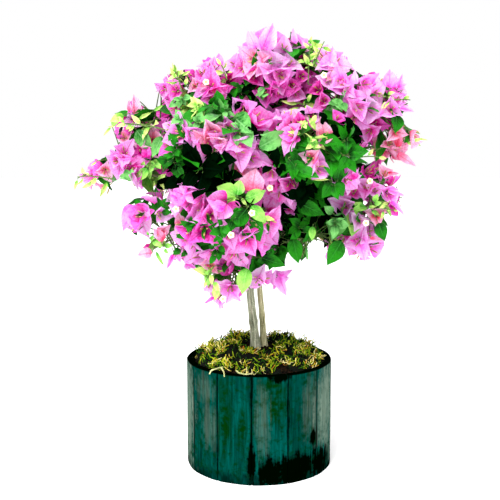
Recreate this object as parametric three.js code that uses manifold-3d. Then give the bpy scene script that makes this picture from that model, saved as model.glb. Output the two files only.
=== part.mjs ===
// A bougainvillea bush grown as a small round-headed tree: two slender stems in a pot built of
// thirteen wooden staves, and a crown of leafy, flowering masses, each carried by its own bough.
// Millimetres, +Z up. The origin is the centre of the pot's underside, and -Y faces the viewer.

import * as THREE from 'three';
import { mergeVertices } from 'three/addons/utils/BufferGeometryUtils.js';
import Module from 'manifold-3d';

const wasm = await Module();
wasm.setup();

const TAU = 2 * Math.PI;
const degrees = (a) => (a * Math.PI) / 180;
const vec = (p) => new THREE.Vector3(...p);
const CLEARANCE = 0.3; // between pieces that touch

// The pot
const POT_HEIGHT = 165;
const POT_RADIUS = 112.5; // over the stave corners
const STAVES = 13;
const STAVE_THICKNESS = 11;
const STAVE_FACE_RADIUS = 160; // each outer face is flatter than the ring it stands in
const STAVE_CHAMFER = 1.4;
const FIRST_JOINT_DEG = -96; // a joint just left of the middle of the front
const FLOOR_THICKNESS = 14;
// The widest round thing that fits inside the faceted ring of staves
const CAVITY_RADIUS = (POT_RADIUS - STAVE_THICKNESS) * Math.cos(Math.PI / STAVES / 3) - CLEARANCE;

// The potting soil and the moss that lies on it
const SOIL_EDGE_HEIGHT = 158;
const SOIL_TOP_HEIGHT = 181;
const SOIL_FLAT_RADIUS = 20; // level ground round the foot of the stems
const SOIL_SEGMENTS = 26;
const MOSS_CLUMPS = [
  { name: 'moss_left', angle: 200, reach: 63, size: [33, 29, 15] },
  { name: 'moss_right', angle: 328, reach: 62, size: [29, 31, 15] },
  { name: 'moss_back_left', angle: 128, reach: 60, size: [34, 30, 16] },
  { name: 'moss_back_right', angle: 48, reach: 61, size: [33, 29, 15] },
];

// The two stems, from level ground to where the crown's last boughs part
const GROUND = SOIL_TOP_HEIGHT + CLEARANCE;
const STEM_SIDES = 8;
const STEM_STEPS = 12;
const ROOT_FLARE = 0.42;
const FLARE_HEIGHT = 11;
const STEMS = {
  stem_left: {
    foot: 6.4,
    tip: 3.4,
    route: [[-4, 0, 170], [-8, 0, 225], [-12.5, 0, 268], [-17, -4, 325], [-16, -6, 390], [-8, -8, 470],
      [6, -10, 548]],
  },
  stem_right: {
    foot: 4.9,
    tip: 3.6,
    route: [[8, 5, 170], [4, 6, 225], [0, 7, 268], [-1, 10, 310], [8, 14, 370], [16, 14, 430]],
  },
};

// The crown. Each mass of foliage fills an ellipsoid, and keeps clear of its neighbours' share of
// the space between them. bloom is the share of its shoots that end in coloured bracts, and tips
// are the places that its longest shoots reach.
const MASSES = [
  { name: 'crown_top', centre: [28, -12, 598], radii: [88, 74, 68], bloom: 1,
    stem: 'stem_left', tips: [[18, -10, 669], [94, -14, 646], [-24, -14, 658]] },
  { name: 'crown_top_left', centre: [-84, -22, 560], radii: [78, 74, 66], bloom: 0.9,
    stem: 'stem_left', fork: 440, tips: [[-137, -12, 612], [-82, -20, 624]] },
  { name: 'crown_top_right', centre: [116, -24, 562], radii: [78, 74, 72], bloom: 0.9,
    stem: 'stem_right', fork: 380, bend: [104, -34, 382], tips: [[138, -20, 630]] },
  { name: 'right_upper', centre: [178, 0, 536], radii: [74, 76, 70], bloom: 0.9,
    stem: 'stem_right', fork: 404, tips: [[255, 0, 501], [210, 0, 606], [230, -4, 568]] },
  { name: 'left_upper', centre: [-146, -8, 530], radii: [76, 74, 70], bloom: 0.6,
    stem: 'stem_left', fork: 412, tips: [[-194, -8, 560], [-226, -10, 520]] },
  { name: 'left_side', centre: [-192, -12, 464], radii: [78, 74, 64], bloom: 0.5,
    stem: 'stem_left', fork: 366, tips: [[-279, -10, 436], [-262, -12, 474], [-206, -14, 404]] },
  { name: 'front_upper_left', centre: [-62, -118, 494], radii: [84, 70, 72], bloom: 0.45,
    stem: 'stem_left', fork: 388, tips: [] },
  { name: 'front_upper_right', centre: [64, -118, 482], radii: [84, 70, 72], bloom: 0.3,
    stem: 'stem_right', fork: 366, tips: [] },
  { name: 'front_low', centre: [-46, -134, 402], radii: [84, 68, 66], bloom: 0.9,
    stem: 'stem_left', fork: 342, tips: [] },
  { name: 'front_foot', centre: [-40, -96, 326], radii: [74, 64, 64], bloom: 0.7,
    stem: 'stem_left', fork: 300, tips: [[-54, -110, 264], [6, -96, 272]] },
  { name: 'left_low', centre: [-132, -54, 374], radii: [80, 74, 76], bloom: 0.7,
    stem: 'stem_left', fork: 318, tips: [[-179, -40, 328]] },
  { name: 'right_low', centre: [158, -34, 400], radii: [76, 76, 82], bloom: 0.75,
    stem: 'stem_right', fork: 330, tips: [[229, -20, 450], [218, -24, 412], [190, -30, 352]] },
  { name: 'low_right', centre: [72, -62, 372], radii: [72, 70, 70], bloom: 0.1,
    stem: 'stem_right', fork: 306, tips: [[46, -70, 300], [104, -60, 312]] },
  { name: 'back_top', centre: [12, 90, 558], radii: [92, 78, 74], bloom: 0.75,
    stem: 'stem_right', fork: 420, tips: [] },
  { name: 'back_left', centre: [-132, 90, 478], radii: [84, 80, 82], bloom: 0.55,
    stem: 'stem_left', fork: 402, tips: [] },
  { name: 'back_right', centre: [128, 96, 478], radii: [84, 80, 82], bloom: 0.55,
    stem: 'stem_right', fork: 392, tips: [] },
  { name: 'back_middle', centre: [-2, 148, 466], radii: [84, 68, 76], bloom: 0.55,
    stem: 'stem_right', fork: 352, tips: [] },
  { name: 'back_low_left', centre: [-72, 92, 370], radii: [82, 78, 74], bloom: 0.55,
    stem: 'stem_left', fork: 330, tips: [] },
  { name: 'back_low_right', centre: [82, 96, 370], radii: [82, 78, 74], bloom: 0.55,
    stem: 'stem_right', fork: 318, tips: [] },
];
const HEART = [0, 0, 440]; // shoots spread away from here
const CELL_MARGIN = 0.4; // kept from the plane between two neighbouring masses

// Boughs
const BOUGH_SIDES = 6;
const BOUGH_STEPS = 5;
const BOUGH_FOOT = 3.6;
const BOUGH_TIP = 2.2;
const BOUGH_ENTRY = 0.5; // how deep in its mass a bough ends, as a share of the mass's radius
const ARCH = 0.16; // how far a bough rises over the straight line, as a share of its length

// Shoots and what stands on them
const SHOOTS = 9;
const SHORTEST_SHOOT = 12;
const SHOOT_FOOT = 1.6;
const SHOOT_TIP = 1.3;
const LEAF = { length: 58, width: 42, widest: 0.42, ribDepth: 1.2 };
const BRACT = { length: 44, width: 39, widest: 0.45, rise: 0.5 };
const HEAD_DEPTH = 30; // kept between a head of bracts' foot and the edge of its mass
const THROAT = 2.6; // how far under a head of bracts its three ribs meet the twig
const LEAVES_AT = [0.3, 0.7];
const MOST_DROP = degrees(66); // how far an outward shoot's last leaf turns down from it
const TRIES = 10;
const SHRINK = 0.04; // how much smaller each next try is
const EDGE_SLACK = 1.18; // how far past the edge of its mass a blade may reach
const MOST_SHARED = 0.15; // mm3 that two leaves may share where they stand close

const COLOURS = {
  stave: 0x1c5f59,
  floor: 0x5b4a38,
  soil: 0x1d1712,
  moss: 0x8a8a2c,
  stem: 0xa39a80,
  bough: 0x7d8460,
  leafy: 0x2f6b26,
  flowering: 0xd84fb4,
};


function seeded(seed) {
  let state = seed;
  return () => {
    state = (state * 48271) % 2147483647;
    return state / 2147483647;
  };
}

// A closed geometry as a solid, and back
function solidOf(geometry) {
  const bare = new THREE.BufferGeometry();
  bare.setAttribute('position', geometry.getAttribute('position').clone());
  if (geometry.index) bare.setIndex(geometry.index.clone());
  const merged = mergeVertices(bare, 1e-4);
  const corners = merged.index.array;
  const kept = [];
  for (let i = 0; i < corners.length; i += 3) {
    const [a, b, c] = [corners[i], corners[i + 1], corners[i + 2]];
    if (a !== b && b !== c && a !== c) kept.push(a, b, c);
  }
  const mesh = new wasm.Mesh({
    numProp: 3,
    vertProperties: merged.getAttribute('position').array,
    triVerts: new Uint32Array(kept),
  });
  return new wasm.Manifold(mesh);
}

function geometryOf(solid) {
  const mesh = solid.getMesh();
  const geometry = new THREE.BufferGeometry();
  const places = new Float32Array(mesh.numVert * 3);
  for (let i = 0; i < mesh.numVert; i += 1) {
    places.set(mesh.vertProperties.subarray(i * mesh.numProp, i * mesh.numProp + 3), i * 3);
  }
  geometry.setAttribute('position', new THREE.BufferAttribute(places, 3));
  geometry.setIndex(new THREE.BufferAttribute(mesh.triVerts, 1));
  geometry.computeVertexNormals();
  return geometry;
}

function piece(name, geometry, colour, roughness) {
  const looks = { color: colour, roughness, metalness: 0, flatShading: true };
  const material = new THREE.MeshStandardMaterial(looks);
  const mesh = new THREE.Mesh(geometry, material);
  mesh.name = name;
  return mesh;
}

// A limb of round section along a curve, with flat ends
function limbGeometry(curve, radiusAt, sides, steps) {
  const frames = curve.computeFrenetFrames(steps, false);
  const places = [];
  for (let i = 0; i <= steps; i += 1) {
    const t = i / steps;
    const middle = curve.getPointAt(t);
    for (let j = 0; j < sides; j += 1) {
      const turn = (TAU * j) / sides;
      const spoke = frames.normals[i].clone().multiplyScalar(Math.cos(turn));
      spoke.addScaledVector(frames.binormals[i], Math.sin(turn));
      places.push(...middle.clone().addScaledVector(spoke, radiusAt(t)).toArray());
    }
  }
  const first = places.length / 3;
  places.push(...curve.getPointAt(0).toArray(), ...curve.getPointAt(1).toArray());
  const faces = [];
  for (let j = 0; j < sides; j += 1) {
    const k = (j + 1) % sides;
    for (let i = 0; i < steps; i += 1) {
      const [a, b] = [i * sides + j, i * sides + k];
      faces.push(a, b, a + sides, b, b + sides, a + sides);
    }
    faces.push(first, k, j, first + 1, steps * sides + j, steps * sides + k);
  }
  const geometry = new THREE.BufferGeometry();
  geometry.setAttribute('position', new THREE.Float32BufferAttribute(places, 3));
  geometry.setIndex(faces);
  return geometry;
}

// One stave: a plank between two radial joints, with a slightly rounded outer face
function staveGeometry() {
  const half = Math.PI / STAVES;
  const cornerX = POT_RADIUS * Math.sin(half);
  const cornerY = POT_RADIUS * Math.cos(half);
  const faceMiddle = cornerY - Math.sqrt(STAVE_FACE_RADIUS ** 2 - cornerX ** 2);
  const jointShift = CLEARANCE / 2 / Math.cos(half);
  const inner = POT_RADIUS - STAVE_THICKNESS;
  const faceX = cornerX - STAVE_CHAMFER;
  const outline = new THREE.Shape();
  const sideX = (y) => y * Math.tan(half) - jointShift;
  const chamferY = cornerY - STAVE_CHAMFER;
  const faceSteps = 4;
  const innerSteps = 3;
  outline.moveTo(sideX(chamferY), chamferY);
  for (let i = 0; i <= faceSteps; i += 1) {
    const x = faceX - (2 * faceX * i) / faceSteps;
    outline.lineTo(x, faceMiddle + Math.sqrt(STAVE_FACE_RADIUS ** 2 - x ** 2));
  }
  outline.lineTo(-sideX(chamferY), chamferY);
  for (let i = 0; i <= innerSteps; i += 1) {
    const turn = half * ((2 * i) / innerSteps - 1);
    const y = inner * Math.cos(turn);
    const x = Math.max(-sideX(y), Math.min(sideX(y), inner * Math.sin(turn)));
    outline.lineTo(x, y);
  }
  return new THREE.ExtrudeGeometry(outline, { depth: POT_HEIGHT, bevelEnabled: false, steps: 1 });
}

function pot() {
  const group = new THREE.Group();
  const geometry = staveGeometry();
  for (let i = 0; i < STAVES; i += 1) {
    const name = `stave_${String(i + 1).padStart(2, '0')}`;
    const stave = piece(name, geometry, COLOURS.stave, 0.8);
    stave.rotation.z = degrees(FIRST_JOINT_DEG) + (TAU * (i + 0.5)) / STAVES - Math.PI / 2;
    group.add(stave);
  }
  const board = new THREE.CylinderGeometry(CAVITY_RADIUS, CAVITY_RADIUS, FLOOR_THICKNESS, 2 * STAVES);
  board.rotateX(Math.PI / 2);
  board.translate(0, 0, FLOOR_THICKNESS / 2);
  group.add(piece('pot_floor', board, COLOURS.floor, 0.9));
  return group;
}

function soilHeight(radius) {
  const share = Math.min(1, Math.max(0, (radius - SOIL_FLAT_RADIUS) / (CAVITY_RADIUS - SOIL_FLAT_RADIUS)));
  return SOIL_EDGE_HEIGHT + (SOIL_TOP_HEIGHT - SOIL_EDGE_HEIGHT) * (1 - share ** 1.6);
}

function soilSolid() {
  const rings = 4;
  const profile = [new THREE.Vector2(0, 0), new THREE.Vector2(CAVITY_RADIUS, 0)];
  const bottom = FLOOR_THICKNESS + CLEARANCE;
  for (let i = rings; i >= 0; i -= 1) {
    const radius = SOIL_FLAT_RADIUS + ((CAVITY_RADIUS - SOIL_FLAT_RADIUS) * i) / rings;
    profile.push(new THREE.Vector2(radius, soilHeight(radius) - bottom));
  }
  profile.push(new THREE.Vector2(0, SOIL_TOP_HEIGHT - bottom));
  const geometry = new THREE.LatheGeometry(profile, SOIL_SEGMENTS);
  geometry.rotateX(Math.PI / 2);
  geometry.translate(0, 0, bottom);
  return solidOf(geometry);
}

// A cushion of moss: a lumpy, flattened ball, cut off along the soil that it lies on
function mossSolid(clump, index, ground) {
  const random = seeded(400 + 29 * index);
  const lumps = Array.from({ length: 3 }, () => [2 + 3 * random(), TAU * random(), 0.05 + 0.04 * random()]);
  const ball = new THREE.SphereGeometry(1, 11, 6);
  ball.deleteAttribute('normal');
  ball.deleteAttribute('uv');
  const geometry = mergeVertices(ball, 1e-4);
  const place = geometry.getAttribute('position');
  const angle = degrees(clump.angle);
  for (let i = 0; i < place.count; i += 1) {
    const p = new THREE.Vector3().fromBufferAttribute(place, i);
    const turn = Math.atan2(p.y, p.x);
    const lump = ([count, phase, size]) => size * Math.sin(Math.round(count) * turn + phase);
    const swell = lumps.reduce((sum, each) => sum + lump(each), 1);
    p.multiplyScalar(swell).multiply(vec(clump.size));
    p.applyAxisAngle(new THREE.Vector3(0, 0, 1), angle);
    const seat = soilHeight(clump.reach) + 1;
    p.add(new THREE.Vector3(clump.reach * Math.cos(angle), clump.reach * Math.sin(angle), seat));
    place.setXYZ(i, p.x, p.y, p.z);
  }
  return solidOf(geometry).subtract(ground);
}

function groundCover() {
  const group = new THREE.Group();
  const soil = soilSolid();
  group.add(piece('soil', geometryOf(soil), COLOURS.soil, 1));
  const ground = soil.translate([0, 0, CLEARANCE]).add(soil);
  MOSS_CLUMPS.forEach((clump, i) => {
    group.add(piece(clump.name, geometryOf(mossSolid(clump, i, ground)), COLOURS.moss, 1));
  });
  return group;
}

// The stems
const curveThrough = (route) => new THREE.CatmullRomCurve3(route.map(vec), false, 'centripetal');
const stemCurves = {
  stem_left: curveThrough(STEMS.stem_left.route),
  stem_right: curveThrough(STEMS.stem_right.route),
};

function stemSolid(name, extra) {
  const { foot, tip } = STEMS[name];
  const curve = stemCurves[name];
  const radiusAt = (t) => {
    const height = Math.max(0, curve.getPointAt(t).z - GROUND);
    return foot + (tip - foot) * t + foot * ROOT_FLARE * Math.exp(-height / FLARE_HEIGHT) + extra;
  };
  const tube = solidOf(limbGeometry(curve, radiusAt, STEM_SIDES, STEM_STEPS));
  const above = new THREE.BoxGeometry(400, 400, 800);
  above.translate(0, 0, 400 + GROUND - extra);
  return tube.intersect(solidOf(above));
}

function stemPointAt(name, height) {
  const curve = stemCurves[name];
  let [low, high] = [0, 1];
  for (let i = 0; i < 30; i += 1) {
    const middle = (low + high) / 2;
    if (curve.getPointAt(middle).z < height) low = middle;
    else high = middle;
  }
  return curve.getPointAt(low);
}

// A bough leaves its stem at its fork, arches outwards and ends inside its mass
function boughCurve(mass) {
  const centre = vec(mass.centre);
  const fork = stemPointAt(mass.stem, mass.fork);
  const along = centre.clone().sub(fork);
  const depth = BOUGH_ENTRY * Math.min(...mass.radii);
  const end = centre.clone().addScaledVector(along.clone().normalize(), -depth);
  const bend = mass.bend ? vec(mass.bend) : fork.clone().lerp(end, 0.5);
  if (!mass.bend) bend.z += ARCH * along.length();
  return new THREE.QuadraticBezierCurve3(fork, bend, end);
}

function boughSolid(mass, extra) {
  const radiusAt = (t) => BOUGH_FOOT + (BOUGH_TIP - BOUGH_FOOT) * t + extra;
  return solidOf(limbGeometry(boughCurve(mass), radiusAt, BOUGH_SIDES, BOUGH_STEPS));
}

const outwardAt = (place) => place.clone().sub(vec(HEART)).normalize();

// The three directions of a blade or shoot: along it, across it to the left, and up from its face
function frameOf(along, up) {
  const x = along.clone().normalize();
  const y = up.clone().cross(x).normalize();
  return { x, y, z: x.clone().cross(y) };
}

function closedSolid(corners, faces) {
  const geometry = new THREE.BufferGeometry();
  geometry.setAttribute('position', new THREE.Float32BufferAttribute(corners.flatMap((p) => p.toArray()), 3));
  geometry.setIndex(faces.flat());
  return { solid: solidOf(geometry), corners };
}

// A leaf on the side of a twig: a folded kite with a raised rib, rooted by an upright edge
function leafSolid(root, along, up, size) {
  const { x, y, z } = frameOf(along, up);
  const at = (a, b, c) => root.clone()
    .addScaledVector(x, a * size).addScaledVector(y, b * size).addScaledVector(z, c);
  const [top, under, left, right, tip] = [0, 1, 2, 3, 4];
  const corners = [
    at(0, 0, LEAF.ribDepth / 2),
    at(0, 0, -LEAF.ribDepth / 2),
    at(LEAF.widest * LEAF.length, LEAF.width / 2, 1.5),
    at(LEAF.widest * LEAF.length, -LEAF.width / 2, 1.5),
    at(LEAF.length, 0, 0),
  ];
  return closedSolid(corners, [
    [top, tip, left], [top, right, tip],
    [under, left, tip], [under, tip, right],
    [top, left, under], [top, under, right],
  ]);
}

const SPOKES = [90, 210, 330].map(degrees);

// The three-sided twig of a shoot, up to the three corners of its open end
function twigCorners(from, to, frame) {
  const ring = (centre, radius) => SPOKES.map((turn) => centre.clone()
    .addScaledVector(frame.y, radius * Math.cos(turn))
    .addScaledVector(frame.z, radius * Math.sin(turn)));
  return [...ring(from, SHOOT_FOOT), ...ring(to, SHOOT_TIP)];
}

// A shoot that ends in a leaf: the end of the twig widens into the blade, which turns its face
// to the outside of the crown
function leafyShoot(from, to, up, size, mostDrop) {
  const frame = frameOf(to.clone().sub(from), up);
  const drop = mostDrop * Math.max(0, frame.x.dot(outwardAt(to)));
  const run = frame.x.clone().multiplyScalar(Math.cos(drop)).addScaledVector(frame.z, -Math.sin(drop));
  const at = (a, b) => to.clone().addScaledVector(run, a * size).addScaledVector(frame.y, b * size);
  const corners = twigCorners(from, to, frame);
  const [left, right, tip] = [6, 7, 8];
  corners.push(at(LEAF.widest * LEAF.length, LEAF.width / 2), at(LEAF.widest * LEAF.length, -LEAF.width / 2));
  corners.push(at(LEAF.length, 0));
  const faces = [[0, 2, 1]];
  for (let k = 0; k < 3; k += 1) {
    const next = (k + 1) % 3;
    faces.push([k, next, 3 + next], [k, 3 + next, 3 + k]);
  }
  faces.push([3, tip, left], [3, right, tip], [4, 5, tip], [5, left, tip], [4, tip, right]);
  faces.push([3, left, 5], [3, 4, right]);
  return closedSolid(corners, faces);
}

// A shoot that ends in a head of three bracts, one on each side of the twig's end
function floweringShoot(from, to, up, size) {
  const frame = frameOf(to.clone().sub(from), up);
  const corners = twigCorners(from, to, frame);
  const heart = corners.push(to.clone().addScaledVector(frame.x, 0.8)) - 1;
  const faces = [[0, 2, 1]];
  for (let k = 0; k < 3; k += 1) {
    const turn = SPOKES[k] + Math.PI / 3;
    const spoke = frame.y.clone().multiplyScalar(Math.cos(turn)).addScaledVector(frame.z, Math.sin(turn));
    const onward = frame.y.clone().multiplyScalar(-Math.sin(turn)).addScaledVector(frame.z, Math.cos(turn));
    const along = spoke.clone().addScaledVector(frame.x, BRACT.rise).normalize();
    const halfWidth = (size * BRACT.width) / 2;
    const middle = to.clone().addScaledVector(along, size * BRACT.widest * BRACT.length);
    const throat = to.clone().addScaledVector(frame.x, -THROAT).addScaledVector(spoke, SHOOT_TIP * 0.55);
    const under = corners.push(throat) - 1;
    const near = corners.push(middle.clone().addScaledVector(onward, -halfWidth)) - 1;
    const far = corners.push(middle.clone().addScaledVector(onward, halfWidth)) - 1;
    const tip = corners.push(to.clone().addScaledVector(along, size * BRACT.length)) - 1;
    const [here, there] = [3 + k, 3 + ((k + 1) % 3)];
    faces.push([heart, here, near], [heart, near, tip], [heart, tip, far], [heart, far, there]);
    faces.push([under, near, here], [under, tip, near], [under, far, tip], [under, there, far]);
    faces.push([k, (k + 1) % 3, under], [k, under, here], [(k + 1) % 3, there, under]);
  }
  return closedSolid(corners, faces);
}

// The directions in which a mass's shoots leave its stem: spread evenly, and not back to the heart
function shootsOf(mass, index) {
  const random = seeded(1000 + 37 * index);
  const outward = vec(mass.centre).sub(vec(HEART)).normalize();
  const side = new THREE.Vector3(0.31, 0.17, 0.93).cross(outward).normalize();
  const other = outward.clone().cross(side);
  const golden = Math.PI * (3 - Math.sqrt(5));
  const shoots = [];
  for (let i = 0; i < SHOOTS; i += 1) {
    const lift = 0.97 - (1.42 * (i + 0.3 * random())) / SHOOTS;
    const turn = golden * i + 0.6 * random();
    const flat = Math.sqrt(1 - lift * lift);
    const way = outward.clone().multiplyScalar(lift);
    way.addScaledVector(side, flat * Math.cos(turn)).addScaledVector(other, flat * Math.sin(turn));
    const start = 0.3 + (0.67 * ((i * 5) % SHOOTS + random())) / SHOOTS;
    shoots.push({ way, start, blooms: random() < mass.bloom });
  }
  return shoots;
}

// How far a shoot may run from a point inside the mass before it meets the mass's edge
function reachTo(mass, from, way) {
  const scaled = (p) => p.clone().divide(vec(mass.radii));
  const a = scaled(way);
  const b = scaled(from.clone().sub(vec(mass.centre)));
  const dot = a.dot(b);
  const inside = dot * dot + a.lengthSq() * (1 - b.lengthSq());
  return inside <= 0 ? 0 : (Math.sqrt(inside) - dot) / a.lengthSq();
}

// How far it may run before it meets a neighbour's share of the crown
function cellReach(mass, from, way) {
  const runs = MASSES.filter((other) => other !== mass).map((other) => {
    const { unit, limit } = planeBetween(mass, other);
    const speed = way.dot(unit);
    return speed <= 0 ? Infinity : (limit - from.clone().sub(vec(mass.centre)).dot(unit)) / speed;
  });
  return Math.max(0, Math.min(...runs));
}

const meanRadius = (mass) => (mass.radii[0] + mass.radii[1] + mass.radii[2]) / 3;

// The plane that parts two masses: its direction from one to the other, and how far off it stands
function planeBetween(mass, other) {
  const across = vec(other.centre).sub(vec(mass.centre));
  const span = across.length();
  const shift = (meanRadius(mass) ** 2 - meanRadius(other) ** 2) / (2 * span);
  return { unit: across.multiplyScalar(1 / span), limit: span / 2 + shift - CELL_MARGIN };
}

// Whether a convex piece with these corners stays in the mass's own share of the crown
function keepsToOwnSpace(mass, corners) {
  return MASSES.every((other) => {
    if (other === mass) return true;
    const { unit, limit } = planeBetween(mass, other);
    return corners.every((p) => p.clone().sub(vec(mass.centre)).dot(unit) < limit);
  });
}

const pastEdge = (mass, p) => p.clone().sub(vec(mass.centre)).divide(vec(mass.radii)).length() > EDGE_SLACK;

function massSolid(mass, index, limbs) {
  const random = seeded(7000 + 101 * index);
  const turnedWay = (way, spread) => {
    const tilt = new THREE.Vector3(random() - 0.5, random() - 0.5, random() - 0.5);
    return way.clone().normalize().addScaledVector(tilt, spread).normalize();
  };
  const curve = mass.fork ? boughCurve(mass) : stemCurves[mass.stem];
  const way = curve.getTangentAt(1);
  const centre = vec(mass.centre);
  const start = curve.getPointAt(1).addScaledVector(way, CLEARANCE);
  const outward = centre.clone().sub(vec(HEART)).normalize();
  const top = centre.clone().addScaledVector(outward, 0.15 * meanRadius(mass));
  const stem = new THREE.QuadraticBezierCurve3(start, start.clone().addScaledVector(way, 14), top);
  const tipRadius = mass.fork ? BOUGH_TIP : STEMS[mass.stem].tip;
  const solids = [solidOf(limbGeometry(stem, (t) => tipRadius * (1 - 0.2 * t) * 0.95, 5, 3))];

  const heads = [];
  const keep = (made) => {
    solids.push(made.solid);
    heads.push(made.head);
  };
  const fits = (made, isTip) => {
    if (!keepsToOwnSpace(mass, made.corners)) return false;
    if (!isTip && made.corners.some((p) => pastEdge(mass, p))) return false;
    if (!made.solid.intersect(limbs).isEmpty()) return false;
    return heads.every((other) => made.head.intersect(other).volume() < MOST_SHARED);
  };
  const shoot = (from, way, lengthAlong, blooms, tipSize) => {
    for (let i = 0; i < TRIES; i += 1) {
      const along = tipSize ? way : turnedWay(way, 0.25 * i);
      const to = from.clone().addScaledVector(along, lengthAlong(along, i));
      const up = turnedWay(new THREE.Vector3(0, -0.2, 1).addScaledVector(along, -0.3), 1.6);
      const grown = blooms ? floweringShoot : leafyShoot;
      const size = tipSize || 1 - SHRINK * i;
      const neck = to.clone().addScaledVector(along, -2 * THROAT);
      const drop = tipSize ? 0 : MOST_DROP;
      const made = { ...grown(from, to, up, size, drop), head: grown(neck, to, up, size, drop).solid };
      if (fits(made, tipSize)) {
        keep(made);
        return to;
      }
    }
    return null;
  };
  const dress = (from, to, isTip) => {
    const along = to.clone().sub(from).normalize();
    const across = new THREE.Vector3(0, 0, 1).cross(along).normalize();
    LEAVES_AT.forEach((t, side) => {
      const root = from.clone().lerp(to, t);
      const aim = along.clone().multiplyScalar(0.5).addScaledVector(across, side % 2 ? -1 : 1);
      for (let i = 0; i < TRIES; i += 1) {
        const reach = turnedWay(aim, 0.6 + 0.3 * i);
        const up = turnedWay(outwardAt(root), 0.4);
        const made = leafSolid(root, reach, up, 1 - SHRINK * i);
        const leaf = { ...made, head: made.solid };
        if (fits(leaf, isTip)) {
          keep(leaf);
          return;
        }
      }
    });
  };

  mass.tips.forEach((tip) => {
    const run = vec(tip).sub(top);
    const size = Math.min(1, (run.length() - SHORTEST_SHOOT) / LEAF.length);
    const to = shoot(top, run.clone().normalize(), () => run.length() - size * LEAF.length, false, size);
    if (to) dress(top, to, true);
  });
  shootsOf(mass, index).forEach((plan) => {
    const from = stem.getPointAt(Math.min(0.97, plan.start));
    const tipBlade = plan.blooms ? HEAD_DEPTH : LEAF.length;
    const lengthAlong = (way, i) => {
      const reach = Math.min(reachTo(mass, from, way), cellReach(mass, from, way));
      return Math.max(SHORTEST_SHOOT, (1 - 0.06 * i) * reach - tipBlade);
    };
    const to = shoot(from, plan.way, lengthAlong, plan.blooms, 0);
    if (to) dress(from, to, false);
  });
  return wasm.Manifold.union(solids);
}

function plant() {
  const group = new THREE.Group();
  const withBough = MASSES.filter((mass) => mass.fork);
  const clearLeft = stemSolid('stem_left', CLEARANCE);
  const clearStems = clearLeft.add(stemSolid('stem_right', CLEARANCE));
  group.add(piece('stem_left', geometryOf(stemSolid('stem_left', 0)), COLOURS.stem, 0.85));
  const right = stemSolid('stem_right', 0).subtract(clearLeft);
  group.add(piece('stem_right', geometryOf(right), COLOURS.stem, 0.85));

  withBough.forEach((mass) => {
    const bough = boughSolid(mass, 0).subtract(clearStems);
    group.add(piece(`bough_${mass.name}`, geometryOf(bough), COLOURS.bough, 0.8));
  });
  const limbs = wasm.Manifold.union([
    stemSolid('stem_left', 1),
    stemSolid('stem_right', 1),
    ...withBough.map((mass) => boughSolid(mass, 0.8)),
  ]);
  MASSES.forEach((mass, index) => {
    const colour = mass.bloom > 0.5 ? COLOURS.flowering : COLOURS.leafy;
    group.add(piece(mass.name, geometryOf(massSolid(mass, index, limbs)), colour, 0.7));
  });
  return group;
}

const bush = new THREE.Group();
bush.add(pot(), groundCover(), plant());

export default bush;
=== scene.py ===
"""The looks of a bougainvillea bush in a staved wooden pot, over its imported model.

Blender's metres, +Z up, and the viewer on the -Y side. Sizes of the plant are written in millimetres
and turned to metres where a mesh is made.
"""

import math

import bpy
import numpy as np
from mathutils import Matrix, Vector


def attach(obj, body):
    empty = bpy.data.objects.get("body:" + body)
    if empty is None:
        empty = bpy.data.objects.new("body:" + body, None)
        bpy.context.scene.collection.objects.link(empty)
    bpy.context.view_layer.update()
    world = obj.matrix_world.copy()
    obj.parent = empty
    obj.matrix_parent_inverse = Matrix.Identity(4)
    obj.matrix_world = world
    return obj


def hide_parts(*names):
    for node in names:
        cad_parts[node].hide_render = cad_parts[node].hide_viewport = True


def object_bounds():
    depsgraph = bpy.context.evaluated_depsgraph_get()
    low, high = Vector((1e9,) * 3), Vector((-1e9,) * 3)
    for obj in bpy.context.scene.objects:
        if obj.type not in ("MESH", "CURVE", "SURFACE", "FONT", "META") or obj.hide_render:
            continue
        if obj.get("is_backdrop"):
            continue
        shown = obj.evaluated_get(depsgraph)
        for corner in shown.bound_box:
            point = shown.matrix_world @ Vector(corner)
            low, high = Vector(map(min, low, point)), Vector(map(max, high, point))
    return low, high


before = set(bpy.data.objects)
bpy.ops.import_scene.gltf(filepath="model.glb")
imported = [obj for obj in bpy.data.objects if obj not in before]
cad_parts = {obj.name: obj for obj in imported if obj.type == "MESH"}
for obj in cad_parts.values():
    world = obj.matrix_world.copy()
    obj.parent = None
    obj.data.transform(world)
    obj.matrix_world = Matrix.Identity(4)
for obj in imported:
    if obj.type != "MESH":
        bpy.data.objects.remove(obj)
cad_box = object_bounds()

# Staves
# Thirteen pine boards stand on end in a ring, their edges cut to meet. They were brushed with a thin
# teal stain that has worn to grey wood in places, and damp has blackened them from the foot up.
MM = 0.001
STAVES = 13
POT_HEIGHT = 165
POT_RADIUS = 112.5
STAVE_THICKNESS = 11
STAVE_FACE_RADIUS = 160
STAVE_CHAMFER = 1.4
JOINT_GAP = 0.3
FIRST_JOINT_DEG = -96
FACE_STEPS = 20
HEIGHT_STEPS = 40
EDGE_HEIGHT = 0.9  # the worn edge of a stave's foot and top, and the plain band next to it
EDGE_BAND = 3
FOOT_SHARE = 0.94  # and how much of its section is left there
TOP_SHARE = 0.9
STAVE_SIZES = {"Staves": STAVES, "First joint": math.radians(FIRST_JOINT_DEG), "Grain depth": 0.5 * MM,
               "Grain width": 3.5 * MM, "Grain length": 70 * MM, "Outer face": 106 * MM}


def linear(code):
    """An sRGB hex colour as the linear one that Blender's sockets take."""
    shares = [int(code[i:i + 2], 16) / 255 for i in (1, 3, 5)]
    return (*[s / 12.92 if s <= 0.04045 else ((s + 0.055) / 1.055) ** 2.4 for s in shares], 1)


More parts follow.
